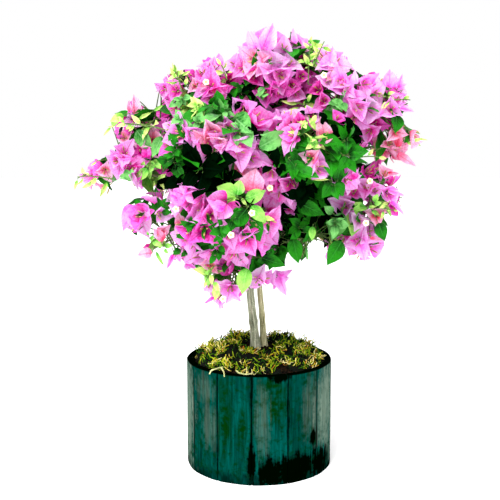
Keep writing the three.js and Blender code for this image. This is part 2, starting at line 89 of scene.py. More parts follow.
def add_node(tree, kind, inputs=None, **settings):
    """Adds a node to a tree, with its settings, its plain values and its links. A node among the
    values stands for its first output."""
    node = tree.nodes.new(kind)
    for name, value in settings.items():
        setattr(node, name, value)
    for name, value in (inputs or {}).items():
        if isinstance(value, bpy.types.Node):
            value = value.outputs[0]
        if isinstance(value, bpy.types.NodeSocket):
            tree.links.new(value, node.inputs[name])
        else:
            node.inputs[name].default_value = value
    return node


def new_finish(name, **surface):
    """A material with a Principled surface that has these plain values."""
    material = bpy.data.materials.new(name)
    material.use_nodes = True
    shader = material.node_tree.nodes["Principled BSDF"]
    for socket, value in surface.items():
        shader.inputs[socket.replace("_", " ")].default_value = value
    return material, material.node_tree, shader


def set_stops(ramp, *stops):
    """Gives a colour ramp its stops, each with a place from 0 to 1 and an sRGB colour."""
    elements = ramp.color_ramp.elements
    elements.remove(elements[1])
    for i, (place, colour) in enumerate(stops):
        stop = elements.new(place) if i else elements[0]
        stop.position = place
        stop.color = linear(colour)


def give_skin(tree, surface, colour, height, strength, depth):
    """Gives a surface its colour, and relief from a height pattern, this many metres deep."""
    tree.links.new(colour, surface.inputs["Base Color"])
    bump = add_node(tree, "ShaderNodeBump", {"Height": height, "Strength": strength, "Distance": depth})
    tree.links.new(bump.outputs[0], surface.inputs["Normal"])
    return bump


def growing_tree(name, sizes):
    """A Geometry Nodes tree with the ground that it grows on and its sizes as named inputs."""
    tree = bpy.data.node_groups.new(name, "GeometryNodeTree")
    tree.interface.new_socket("Result", in_out="OUTPUT", socket_type="NodeSocketGeometry")
    tree.interface.new_socket("Ground", in_out="INPUT", socket_type="NodeSocketGeometry")
    for size, value in sizes.items():
        kind = "NodeSocketInt" if isinstance(value, int) else "NodeSocketFloat"
        tree.interface.new_socket(size, in_out="INPUT", socket_type=kind)
    return tree, add_node(tree, "NodeGroupInput").outputs


def finish_tree(tree, geometry, finish):
    """Ends a tree: its instances made real, its material set."""
    real = add_node(tree, "GeometryNodeRealizeInstances", {"Geometry": geometry})
    dressed = add_node(tree, "GeometryNodeSetMaterial", {"Geometry": real, "Material": finish})
    add_node(tree, "NodeGroupOutput", {"Result": dressed})


def grown_mesh(name, tree, sizes, ground):
    """Runs a Geometry Nodes tree once on the ground's mesh, and keeps its result as a plain mesh."""
    holder = bpy.data.objects.new(name, ground)
    bpy.context.scene.collection.objects.link(holder)
    modifier = holder.modifiers.new(name, "NODES")
    modifier.node_group = tree
    for item in tree.interface.items_tree:
        if item.name in sizes:
            modifier[item.identifier] = sizes[item.name]
    graph = bpy.context.evaluated_depsgraph_get()
    mesh = bpy.data.meshes.new_from_object(holder.evaluated_get(graph), depsgraph=graph)
    holder.modifiers.remove(modifier)
    bpy.data.objects.remove(holder)
    return mesh


def mesh_of(name, places, faces, finish=None, uv=None, tone=None):
    """A smooth mesh from corners in millimetres. uv and tone have a value for each corner."""
    mesh = bpy.data.meshes.new(name)
    corners = np.concatenate([np.asarray(face) for face in faces])
    starts = np.cumsum([0] + [len(face) for face in faces[:-1]])
    mesh.vertices.add(len(places))
    mesh.vertices.foreach_set("co", (np.asarray(places) * MM).astype(np.float32).ravel())
    mesh.loops.add(len(corners))
    mesh.loops.foreach_set("vertex_index", corners.astype(np.int32))
    mesh.polygons.add(len(faces))
    mesh.polygons.foreach_set("loop_start", starts.astype(np.int32))
    mesh.polygons.foreach_set("use_smooth", np.ones(len(faces), bool))
    if uv is not None:
        layer = mesh.uv_layers.new(name="UVMap")
        layer.data.foreach_set("uv", np.asarray(uv)[corners].astype(np.float32).ravel())
    if tone is not None:
        attribute = mesh.attributes.new("tone", "FLOAT", "POINT")
        attribute.data.foreach_set("value", np.asarray(tone).astype(np.float32))
    if finish:
        mesh.materials.append(finish)
    mesh.update(calc_edges=True)
    return mesh


def add_piece(name, mesh, nodes):
    """A finished piece that rides on the plant's one body and stands for these CAD nodes."""
    piece = bpy.data.objects.new(name, mesh)
    bpy.context.scene.collection.objects.link(piece)
    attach(piece, "root")
    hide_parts(*nodes)


def stave_block():
    """One stave, standing on its foot with its outer face to +Y: an outline lofted to its height."""
    half = math.pi / STAVES
    corner_x = POT_RADIUS * math.sin(half)
    corner_y = POT_RADIUS * math.cos(half)
    face_middle = corner_y - math.sqrt(STAVE_FACE_RADIUS ** 2 - corner_x ** 2)
    joint_shift = JOINT_GAP / 2 / math.cos(half)
    inner = POT_RADIUS - STAVE_THICKNESS
    face_x = np.linspace(corner_x - STAVE_CHAMFER, STAVE_CHAMFER - corner_x, FACE_STEPS + 1)
    outline = [(x, face_middle + math.sqrt(STAVE_FACE_RADIUS ** 2 - x ** 2)) for x in face_x]
    side_rows = np.linspace(corner_y - STAVE_CHAMFER, inner * math.cos(half), 4)
    left_side = [(-(y * math.tan(half) - joint_shift), y) for y in side_rows]
    inner_turns = np.linspace(-0.7, 0.7, 5) * half
    inner_face = [(inner * math.sin(turn), inner * math.cos(turn)) for turn in inner_turns]
    right_side = [(-x, y) for x, y in reversed(left_side)]
    outline = np.array(outline + left_side + inner_face + right_side)
    middle = np.array([0, POT_RADIUS - STAVE_THICKNESS / 2])
    levels = [0, EDGE_HEIGHT, *np.linspace(EDGE_BAND, POT_HEIGHT - EDGE_BAND, HEIGHT_STEPS),
              POT_HEIGHT - EDGE_HEIGHT, POT_HEIGHT]
    worn_edge = {0: FOOT_SHARE, len(levels) - 1: TOP_SHARE}
    rings = []
    for i, level in enumerate(levels):
        ring = middle + (outline - middle) * worn_edge.get(i, 1)
        rings.append(np.column_stack([ring, np.full(len(ring), level)]))
    count = len(outline)
    faces = []
    for i in range(len(levels) - 1):
        for j in range(count):
            k = (j + 1) % count
            faces.append([i * count + k, i * count + j, (i + 1) * count + j, (i + 1) * count + k])
    faces.append(list(range(count)))
    faces.append([(len(levels) - 1) * count + j for j in reversed(range(count))])
    mesh = mesh_of("stave", np.concatenate(rings), faces)
    mesh.polygons.foreach_set("use_smooth", np.zeros(len(faces), bool))
    return mesh


def stave_ring_tree(finish):
    """Repeats the ground, one stave, round the pot, and raises its grain along the height."""
    tree, given = growing_tree("stave_ring", STAVE_SIZES)
    step = add_node(tree, "ShaderNodeMath", {0: 2 * math.pi, 1: given["Staves"]}, operation="DIVIDE")
    index = add_node(tree, "GeometryNodeInputIndex")
    middle = add_node(tree, "ShaderNodeMath", {0: index, 1: 0.5}, operation="ADD")
    turn = add_node(tree, "ShaderNodeMath", {0: middle, 1: step, 2: given["First joint"]},
                    operation="MULTIPLY_ADD")
    facing = add_node(tree, "ShaderNodeMath", {0: turn, 1: math.pi / 2}, operation="SUBTRACT")
    turned = add_node(tree, "ShaderNodeCombineXYZ", {"Z": facing})
    points = add_node(tree, "GeometryNodePoints", {"Count": given["Staves"]})
    ring = add_node(tree, "GeometryNodeInstanceOnPoints",
                    {"Points": points, "Instance": given["Ground"], "Rotation": turned})
    real = add_node(tree, "GeometryNodeRealizeInstances", {"Geometry": ring})
    place = add_node(tree, "GeometryNodeInputPosition")
    grain_size = add_node(tree, "ShaderNodeCombineXYZ",
                          {"X": given["Grain width"], "Y": given["Grain width"],
                           "Z": given["Grain length"]})
    grain_place = add_node(tree, "ShaderNodeVectorMath", {0: place, 1: grain_size}, operation="DIVIDE")
    grain = add_node(tree, "ShaderNodeTexNoise", {"Vector": grain_place, "Scale": 1.0, "Detail": 2.0})
    flat = add_node(tree, "ShaderNodeVectorMath", {0: place, 1: (1, 1, 0)}, operation="MULTIPLY")
    outward = add_node(tree, "ShaderNodeVectorMath", {0: flat}, operation="NORMALIZE")
    radius = add_node(tree, "ShaderNodeVectorMath", {0: flat}, operation="LENGTH")
    outer = add_node(tree, "FunctionNodeCompare", {0: radius.outputs["Value"], 1: given["Outer face"]},
                     operation="GREATER_THAN")
    raised = add_node(tree, "ShaderNodeMath", {0: grain, 1: 0.75}, operation="SUBTRACT")
    depth = add_node(tree, "ShaderNodeMath", {0: raised, 1: given["Grain depth"]}, operation="MULTIPLY")
    offset = add_node(tree, "ShaderNodeVectorMath", {0: outward, "Scale": depth}, operation="SCALE")
    worn = add_node(tree, "GeometryNodeSetPosition",
                    {"Geometry": real, "Selection": outer, "Offset": offset})
    finish_tree(tree, worn, finish)
    return tree


# Where the stain has worn to grey, turned olive or been stained black: degrees from the middle of
# the front, height in millimetres, and how far the patch reaches each way
WORN_PATCHES = [(-78, 92, 13, 86), (63, 104, 13, 64), (82, 90, 10, 70), (118, 90, 12, 60),
                (-128, 100, 11, 55), (-165, 70, 8, 40)]
FADED_PATCHES = [(-46, 136, 9, 20), (-42, 82, 8, 30), (2, 96, 5, 46), (43, 112, 7, 50),
                 (150, 118, 9, 44), (-150, 60, 10, 50)]
OLIVE_PATCHES = [(10, 145, 9, 17), (13, 119, 7, 20), (-28, 98, 5, 62), (-13, 92, 4, 30),
                 (95, 60, 10, 50), (-105, 60, 9, 46), (170, 120, 12, 40)]
BLACK_PATCHES = [(45, 62, 3, 10), (-6, 34, 3.5, 26), (15, 163, 8, 7), (30, 20, 22, 22),
                 (54, 22, 12, 18), (8, 18, 8, 20), (135, 20, 22, 22), (-120, 16, 20, 20),
                 (178, 18, 14, 16)]


def patch_mask(tree, flat, ragged, patches, softness=0.9):
    """1 inside any of the patches and 0 outside, with an edge that ragged moves in and out. Softness
    is the share of the patch from which it starts to fade."""
    mask = None
    for angle, height, half_angle, half_height in patches:
        near = add_node(tree, "ShaderNodeMapping",
                        {"Vector": flat, "Location": (angle, height, 0),
                         "Scale": (half_angle, half_height, 1)}, vector_type="TEXTURE")
        away = add_node(tree, "ShaderNodeVectorMath", {0: near}, operation="LENGTH")
        uneven = add_node(tree, "ShaderNodeMath", {0: away.outputs["Value"], 1: ragged}, operation="ADD")
        inside = add_node(tree, "ShaderNodeMapRange",
                          {"Value": uneven, "From Min": 1.4, "From Max": softness})
        if mask is None:
            mask = inside
        else:
            mask = add_node(tree, "ShaderNodeMath", {0: mask, 1: inside}, operation="MAXIMUM")
    return mask


def stained_pine():
    """Pine under worn teal stain: streaks along the grain, grey where bare, black where damp."""
    grain_width = 1.5  # pine's growth rings lie this far apart, mm
    streak_width = 6.0  # a brush stroke of stain, mm
    spot_size = 9.0  # a spot of mould or damp, mm
    material, tree, surface = new_finish("teal_stained_pine_weathered", Specular_IOR_Level=0.0)
    place = add_node(tree, "ShaderNodeTexCoord").outputs["Object"]
    xyz = add_node(tree, "ShaderNodeSeparateXYZ", {0: place}).outputs
    front = add_node(tree, "ShaderNodeMath", {0: xyz["Y"], 1: -1.0}, operation="MULTIPLY")
    angle = add_node(tree, "ShaderNodeMath", {0: xyz["X"], 1: front}, operation="ARCTAN2")
    turn = add_node(tree, "ShaderNodeMath", {0: angle}, operation="DEGREES")
    height = add_node(tree, "ShaderNodeMath", {0: xyz["Z"], 1: 1 / MM}, operation="MULTIPLY")
    flat = add_node(tree, "ShaderNodeCombineXYZ", {"X": turn, "Y": height})

    # Which stave, and how far from its nearest joint
    shares = add_node(tree, "ShaderNodeMath", {0: turn, 1: -90.0 - FIRST_JOINT_DEG}, operation="ADD")
    stave_share = add_node(tree, "ShaderNodeMath", {0: shares, 1: STAVES / 360}, operation="MULTIPLY")
    stave = add_node(tree, "ShaderNodeMath", {0: stave_share}, operation="FLOOR")
    near_joint = add_node(tree, "ShaderNodeMath", {0: stave_share, 1: 0.5}, operation="PINGPONG")
    stave_tone = add_node(tree, "ShaderNodeTexWhiteNoise", {"W": stave},
                          noise_dimensions="1D").outputs["Value"]
    across = add_node(tree, "ShaderNodeMath", {0: angle, 1: POT_RADIUS}, operation="MULTIPLY")
    along = add_node(tree, "ShaderNodeCombineXYZ", {"X": across, "Y": height, "Z": stave})

    # Grain and strokes are drawn out 60 to 70 mm along the board, and differ from stave to stave
    grain_place = add_node(tree, "ShaderNodeMapping",
                           {"Vector": along, "Scale": (1 / grain_width, 0.016, 5.1)})
    grain = add_node(tree, "ShaderNodeTexNoise",
                     {"Vector": grain_place, "Scale": 1.0, "Detail": 4.0, "Roughness": 0.65})
    streak_place = add_node(tree, "ShaderNodeMapping",
                            {"Vector": along, "Scale": (1 / streak_width, 0.014, 3.7)})
    streak = add_node(tree, "ShaderNodeTexNoise",
                      {"Vector": streak_place, "Scale": 1.0, "Detail": 4.0, "Roughness": 0.6})
    # A blotch of damp is 38 mm across
    blotch = add_node(tree, "ShaderNodeTexNoise", {"Vector": place, "Scale": 26.0, "Detail": 3.0})
    spots = add_node(tree, "ShaderNodeTexNoise",
                     {"Vector": place, "Scale": 1000 / spot_size, "Detail": 4.0, "Roughness": 0.6})
    streaky = add_node(tree, "ShaderNodeMapRange",
                       {"Value": streak, "From Min": 0.3, "From Max": 0.7, "To Min": -1.0, "To Max": 0.0})
    ragged = add_node(tree, "ShaderNodeMath", {0: spots, 1: 1.9, 2: streaky}, operation="MULTIPLY_ADD")
    ragged = add_node(tree, "ShaderNodeMath", {0: ragged, 1: 0.45}, operation="SUBTRACT")

    toned = add_node(tree, "ShaderNodeMath", {0: stave_tone, 1: 0.16, 2: streak}, operation="MULTIPLY_ADD")
    stain = add_node(tree, "ShaderNodeValToRGB", {0: toned})
    set_stops(stain, (0.36, "#00201A"), (0.56, "#00362E"), (0.78, "#004A44"))

    olive = patch_mask(tree, flat, ragged, OLIVE_PATCHES)
    mottled = add_node(tree, "ShaderNodeMapRange",
                       {"Value": spots, "From Min": 0.38, "From Max": 0.58, "To Min": 0.25})
    olive_share = add_node(tree, "ShaderNodeMath", {0: olive, 1: mottled}, operation="MULTIPLY")
    mould = add_node(tree, "ShaderNodeMapRange",
                     {"Value": spots, "From Min": 0.5, "From Max": 0.68, "To Max": 0.8})
    green_share = add_node(tree, "ShaderNodeMath", {0: olive_share, 1: mould}, operation="MAXIMUM")
    tinted = add_node(tree, "ShaderNodeMix", {"Factor": green_share, "A": stain, "B": linear("#012404")},
                      data_type="RGBA")
    worn = patch_mask(tree, flat, ragged, WORN_PATCHES, 0.4)
    half_worn = patch_mask(tree, flat, ragged, FADED_PATCHES, 0.2)
    fading = add_node(tree, "ShaderNodeMath", {0: half_worn, 1: 0.27}, operation="MULTIPLY")
    most = add_node(tree, "ShaderNodeMath", {0: worn, 1: fading}, operation="MAXIMUM")
    bare = add_node(tree, "ShaderNodeMapRange",
                    {"Value": grain, "From Min": 0.34, "From Max": 0.6, "To Min": 0.35})
    bare_share = add_node(tree, "ShaderNodeMath", {0: most, 1: bare}, operation="MULTIPLY")
    faded = add_node(tree, "ShaderNodeMix",
                     {"Factor": bare_share, "A": tinted.outputs["Result"], "B": linear("#647668")},
                     data_type="RGBA")

    # Damp: a ragged black band at the foot, black runs and the dark of the joints; the rim is black too
    foot_wander = add_node(tree, "ShaderNodeMapRange",
                           {"Value": streak, "From Min": 0.35, "From Max": 0.72, "To Min": 2.5,
                            "To Max": 26.0})
    foot_line = add_node(tree, "ShaderNodeMapRange",
                         {"Value": blotch, "From Min": 0.4, "From Max": 0.62, "To Min": 0.45,
                          "To Max": 1.0})
    over_foot = add_node(tree, "ShaderNodeMath", {0: height, 1: foot_wander}, operation="SUBTRACT")
    foot = add_node(tree, "ShaderNodeMapRange", {"Value": over_foot, "From Min": 3.0, "From Max": -3.0})
    foot_share = add_node(tree, "ShaderNodeMath", {0: foot, 1: foot_line}, operation="MULTIPLY")
    joint_reach = add_node(tree, "ShaderNodeMath", {0: near_joint, 1: 2 * math.pi / STAVES * POT_RADIUS},
                           operation="MULTIPLY")
    joint_uneven = add_node(tree, "ShaderNodeMath", {0: ragged, 1: 2.6, 2: joint_reach},
                            operation="MULTIPLY_ADD")
    joint = add_node(tree, "ShaderNodeMapRange",
                     {"Value": joint_uneven, "From Min": 2.6, "From Max": 0.4, "To Max": 0.9})
    rim = add_node(tree, "ShaderNodeMapRange",
                   {"Value": height, "From Min": POT_HEIGHT - 1.8, "From Max": POT_HEIGHT - 0.6})
    black = patch_mask(tree, flat, ragged, BLACK_PATCHES)
    for dark in (foot_share, joint, rim):
        black = add_node(tree, "ShaderNodeMath", {0: black, 1: dark}, operation="MAXIMUM")
    stained = add_node(tree, "ShaderNodeMix",
                       {"Factor": black, "A": faded.outputs["Result"], "B": linear("#000300")},
                       data_type="RGBA")
    shade = add_node(tree, "ShaderNodeMapRange",
                     {"Value": grain, "From Min": 0.3, "From Max": 0.7, "To Min": 0.74, "To Max": 1.16})
    shaded = add_node(tree, "ShaderNodeMix", {"Factor": 1.0, "A": stained.outputs["Result"], "B": shade},
                      data_type="RGBA", blend_type="MULTIPLY")
    rough = add_node(tree, "ShaderNodeMapRange",
                     {"Value": grain, "From Min": 0.3, "From Max": 0.7, "To Min": 0.72, "To Max": 0.48})
    tree.links.new(rough.outputs[0], surface.inputs["Roughness"])
    give_skin(tree, surface, shaded.outputs["Result"], grain, 0.5, 0.6 * MM)
    return material


stave_nodes = [f"stave_{i + 1:02d}" for i in range(STAVES)]
ring_mesh = grown_mesh("staves", stave_ring_tree(stained_pine()), STAVE_SIZES, stave_block())
add_piece("staves", ring_mesh, stave_nodes)

# Pot floor
# A round board of bare pine, nailed in flush with the staves' feet. Only its underside can be seen,
# so it keeps its CAD node.
BOARD_WIDTH = 46  # the floor is edge-joined from boards this wide, mm


def bare_pine():
    """Unstained pine gone grey-brown: growth rings as long dark lines, and board joints."""
    material, tree, surface = new_finish("bare_pine_boards", Roughness=0.8)
    place = add_node(tree, "ShaderNodeTexCoord").outputs["Object"]
    # Growth rings 2 mm apart, drawn out along the boards
    ring_place = add_node(tree, "ShaderNodeMapping", {"Vector": place, "Scale": (500, 9, 40)})
    rings = add_node(tree, "ShaderNodeTexNoise", {"Vector": ring_place, "Scale": 1.0, "Detail": 4.0})
    wood = add_node(tree, "ShaderNodeValToRGB", {0: rings})
    set_stops(wood, (0.35, "#3A2C1E"), (0.7, "#7B6549"))
    xyz = add_node(tree, "ShaderNodeSeparateXYZ", {0: place}).outputs
    board = add_node(tree, "ShaderNodeMath", {0: xyz["X"], 1: BOARD_WIDTH * MM / 2}, operation="PINGPONG")
    joint = add_node(tree, "ShaderNodeMapRange",
                     {"Value": board, "From Min": 0.2 * MM, "From Max": 0.8 * MM, "To Min": 0.15})
    lined = add_node(tree, "ShaderNodeMix", {"Factor": 1.0, "A": wood, "B": joint}, data_type="RGBA",
                     blend_type="MULTIPLY")
    give_skin(tree, surface, lined.outputs["Result"], rings, 0.4, 0.5 * MM)
    return material


floor_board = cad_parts["pot_floor"]
floor_board.data.materials.clear()
floor_board.data.materials.append(bare_pine())

# Potting soil
# Black, damp potting compost, heaped a little towards the stems. Its crumbs are loose lumps of
# peat and bark that were tipped in and pressed down by hand.
SOIL_RADIUS = 100.6
SOIL_EDGE_HEIGHT = 158
SOIL_TOP_HEIGHT = 181
SOIL_FLAT_RADIUS = 20
SOIL_SKIRT = 40  # how far down the pile's side is drawn inside the pot
SOIL_SLOPE = 1.6  # how its top rounds off: 1 would be a cone
SOIL_SETTLED = 0.6  # how far it has sunk since it was pressed down
SOIL_CALM = 12  # this near to the staves it was pressed smooth
SOIL_LUMPS = [(1.6, 24, 3), (1.1, 9, 4), (0.5, 4, 6)]  # how high, how far across, and their seed
CRUMB_SIZES = {"Crumbs per square metre": 42000.0, "Smallest": 0.35, "Largest": 1.6,
               "Crumb radius": 2.1 * MM, "Seed": 5}


def soil_height(radius):
    """The heap's height over the pot's underside, at a distance from its middle."""
    share = np.clip((radius - SOIL_FLAT_RADIUS) / (SOIL_RADIUS - SOIL_FLAT_RADIUS), 0, 1)
    return SOIL_EDGE_HEIGHT + (SOIL_TOP_HEIGHT - SOIL_EDGE_HEIGHT) * (1 - share ** SOIL_SLOPE)


def ripples(x, y, size, seed):
    """Smooth unevenness from -1 to 1 over a plane, from a few crossed waves of about this size."""
    random = np.random.default_rng(seed)
    total = 0
    for _ in range(7):
        way = random.uniform(0, math.tau)
        length = size * random.uniform(0.6, 1.6)
        across = (x * math.cos(way) + y * math.sin(way)) / length
        total = total + np.sin(math.tau * across + random.uniform(0, math.tau))
    return total / 4


def soil_pile():
    """The heap of compost: its uneven top, and a skirt that closes it inside the pot."""
    rings, spokes = 34, 120
    radii = SOIL_RADIUS * np.linspace(0.02, 1, rings) ** 0.8
    turns = np.arange(spokes) * math.tau / spokes
    radius, turn = np.meshgrid(radii, turns, indexing="ij")
    x, y = radius * np.cos(turn), radius * np.sin(turn)
    calm = np.clip((SOIL_RADIUS - radius) / SOIL_CALM, 0, 1)
    lumps = sum(rise * ripples(x, y, size, seed) for rise, size, seed in SOIL_LUMPS)
    z = soil_height(radius) + lumps * calm - SOIL_SETTLED
    top = np.stack([x, y, z], axis=-1).reshape(-1, 3)
    skirt = top[-spokes:] - [0, 0, SOIL_SKIRT]
    places = np.concatenate([top, skirt, [[0, 0, z[0].mean()], [0, 0, skirt[:, 2].min()]]])
    faces = []
    for i in range(rings):
        for j in range(spokes):
            k = (j + 1) % spokes
            faces.append([i * spokes + j, (i + 1) * spokes + j, (i + 1) * spokes + k, i * spokes + k])
    last = rings * spokes
    for j in range(spokes):
        k = (j + 1) % spokes
        faces.append([len(places) - 2, j, k])
        faces.append([len(places) - 1, last + k, last + j])
    return places, faces


def crumb_tree(finish):
    """Strews rough crumbs over the ground, and keeps the ground under them."""
    tree, given = growing_tree("soil_crumbs", CRUMB_SIZES)
    up = add_node(tree, "GeometryNodeInputNormal")
    lift = add_node(tree, "ShaderNodeSeparateXYZ", {0: up})
    faces_up = add_node(tree, "FunctionNodeCompare", {0: lift.outputs["Z"], 1: 0.3},
                        operation="GREATER_THAN")
    strewn = add_node(tree, "GeometryNodeDistributePointsOnFaces",
                      {"Mesh": given["Ground"], "Selection": faces_up,
                       "Density": given["Crumbs per square metre"], "Seed": given["Seed"]})
    crumb = add_node(tree, "GeometryNodeMeshIcoSphere",
                     {"Radius": given["Crumb radius"], "Subdivisions": 1})
    size = add_node(tree, "FunctionNodeRandomValue",
                    {2: given["Smallest"], 3: given["Largest"], "Seed": given["Seed"]}, data_type="FLOAT")
    turned = add_node(tree, "FunctionNodeRandomValue",
                      {"Min": (0, 0, 0), "Max": (math.tau, math.tau, math.tau), "Seed": 8},
                      data_type="FLOAT_VECTOR")
    crumbs = add_node(tree, "GeometryNodeInstanceOnPoints",
                      {"Points": strewn.outputs["Points"], "Instance": crumb, "Scale": size.outputs[1],
                       "Rotation": turned})
    real = add_node(tree, "GeometryNodeRealizeInstances", {"Geometry": crumbs})
    place = add_node(tree, "GeometryNodeInputPosition")
    # Each crumb is broken up by bumps 2.4 mm across
    rough = add_node(tree, "ShaderNodeTexNoise", {"Vector": place, "Scale": 420.0, "Detail": 1.0})
    centred = add_node(tree, "ShaderNodeVectorMath", {0: rough.outputs["Color"], 1: (0.5, 0.5, 0.5)},
                       operation="SUBTRACT")
    offset = add_node(tree, "ShaderNodeVectorMath", {0: centred, "Scale": 3 * MM}, operation="SCALE")
    broken = add_node(tree, "GeometryNodeSetPosition", {"Geometry": real, "Offset": offset})
    heap = add_node(tree, "GeometryNodeJoinGeometry")
    tree.links.new(given["Ground"], heap.inputs[0])
    tree.links.new(broken.outputs[0], heap.inputs[0])
    finish_tree(tree, heap, finish)
    return tree


def compost():
    """Peat and bark compost: almost black and dull, with a few brown shreds."""
    material, tree, surface = new_finish("peat_compost_damp", Roughness=0.95, Specular_IOR_Level=0.05)
    place = add_node(tree, "ShaderNodeTexCoord").outputs["Object"]
    # Shreds 3 mm across
    crumb = add_node(tree, "ShaderNodeTexNoise", {"Vector": place, "Scale": 330.0, "Detail": 4.0})
    soil = add_node(tree, "ShaderNodeValToRGB", {0: crumb})
    set_stops(soil, (0.42, "#040302"), (0.78, "#2A1C10"))
    give_skin(tree, surface, soil.outputs[0], crumb, 0.7, 1.2 * MM)
    return material


soil_ground = mesh_of("soil_ground", *soil_pile())
soil_mesh = grown_mesh("potting_soil", crumb_tree(compost()), CRUMB_SIZES, soil_ground)
add_piece("potting_soil", soil_mesh, ["soil"])

# Moss
# Four cushions of bog moss, with loose tufts between them and along the rim, laid on the soil to keep
# it damp. Each is a tangle of curly strands: green where it lives, straw and rust where it has dried.
MOSS_CLUMPS = {  # degrees round the pot, distance from its middle, and half sizes
    "moss_left": (200, 63, (33, 29, 15)),
    "moss_right": (328, 62, (29, 31, 15)),
    "moss_back_left": (128, 60, (34, 30, 16)),
    "moss_back_right": (48, 61, (33, 29, 15)),
}
MOSS_SUNK = 1.5  # how far its felted underside is pressed into the soil
MOSS_LUMPS = [(0.35, 15, 21), (0.25, 6, 22)]  # how high, as a share, how far across, and their seed
THINNEST_MOSS = 0.8
MOSS_EDGE_GAP = 1  # between the moss and the staves
MOSS_TUFTS = [  # degrees, distance, half width and height
    (248, 52, 22, 7), (272, 66, 24, 6), (296, 50, 20, 7), (225, 84, 16, 6), (350, 40, 18, 6),
    (262, 82, 14, 4), (90, 70, 22, 7), (165, 50, 18, 7), (15, 80, 18, 6), (310, 82, 15, 5),
    (205, 88, 12, 8), (236, 89, 11, 9), (252, 88, 10, 6), (287, 88, 9, 5), (325, 88, 12, 7),
    (340, 87, 12, 8), (150, 86, 15, 14), (110, 88, 13, 10), (60, 88, 13, 11), (186, 92, 10, 10),
    (170, 88, 14, 13), (132, 88, 14, 12), (30, 88, 15, 14), (8, 90, 14, 13), (45, 90, 13, 12),
    (354, 92, 10, 9), (88, 90, 13, 10), (222, 94, 9, 9)]
STRAND_SIZES = {"Strands per square metre": 130000.0, "Strand curl": 0.3, "Strand width": 0.48 * MM,
                "Strand reach": 4.6 * MM, "Strand rise": 7 * MM, "Smallest": 0.5, "Largest": 1.5,
                "Clump size": 17 * MM, "Seed": 11}


def moss_height(x, y):
    """How thick the moss lies on the soil here: a cushion's crown, a tuft's, or nothing."""
    thick = np.zeros_like(x)
    humps = [(turn, reach, *size) for turn, reach, size in MOSS_CLUMPS.values()]
    humps += [(turn, reach, size, size, rise) for turn, reach, size, rise in MOSS_TUFTS]
    for turn, reach, along, across, rise in humps:
        way = math.radians(turn)
        out = x * math.cos(way) + y * math.sin(way) - reach
        side = y * math.cos(way) - x * math.sin(way)
        share = (out / along) ** 2 + (side / across) ** 2
        thick = np.maximum(thick, rise * np.sqrt(np.clip(1 - share, 0, 1)))
    return thick


def moss_bed():
    """The felted bed under the strands, only where moss lies."""
    cells = 110
    line = np.linspace(-SOIL_RADIUS, SOIL_RADIUS, cells)
    x, y = np.meshgrid(line, line, indexing="ij")
    radius = np.hypot(x, y)
    rough = sum((share * ripples(x, y, size, seed) for share, size, seed in MOSS_LUMPS), start=1)
    thick = moss_height(x, y) * rough
    z = soil_height(radius) + thick - MOSS_SUNK
    inside = (thick > THINNEST_MOSS) & (radius < SOIL_RADIUS - MOSS_EDGE_GAP)
    keep = inside[:-1, :-1] & inside[1:, :-1] & inside[1:, 1:] & inside[:-1, 1:]
    number = np.arange(cells * cells).reshape(cells, cells)
    corners = np.stack([number[:-1, :-1], number[1:, :-1], number[1:, 1:], number[:-1, 1:]], axis=-1)
    faces = corners[keep]
    used, renumbered = np.unique(faces, return_inverse=True)
    places = np.stack([x, y, z], axis=-1).reshape(-1, 3)[used]
    return mesh_of("moss_bed", places, list(renumbered.reshape(-1, 4)))


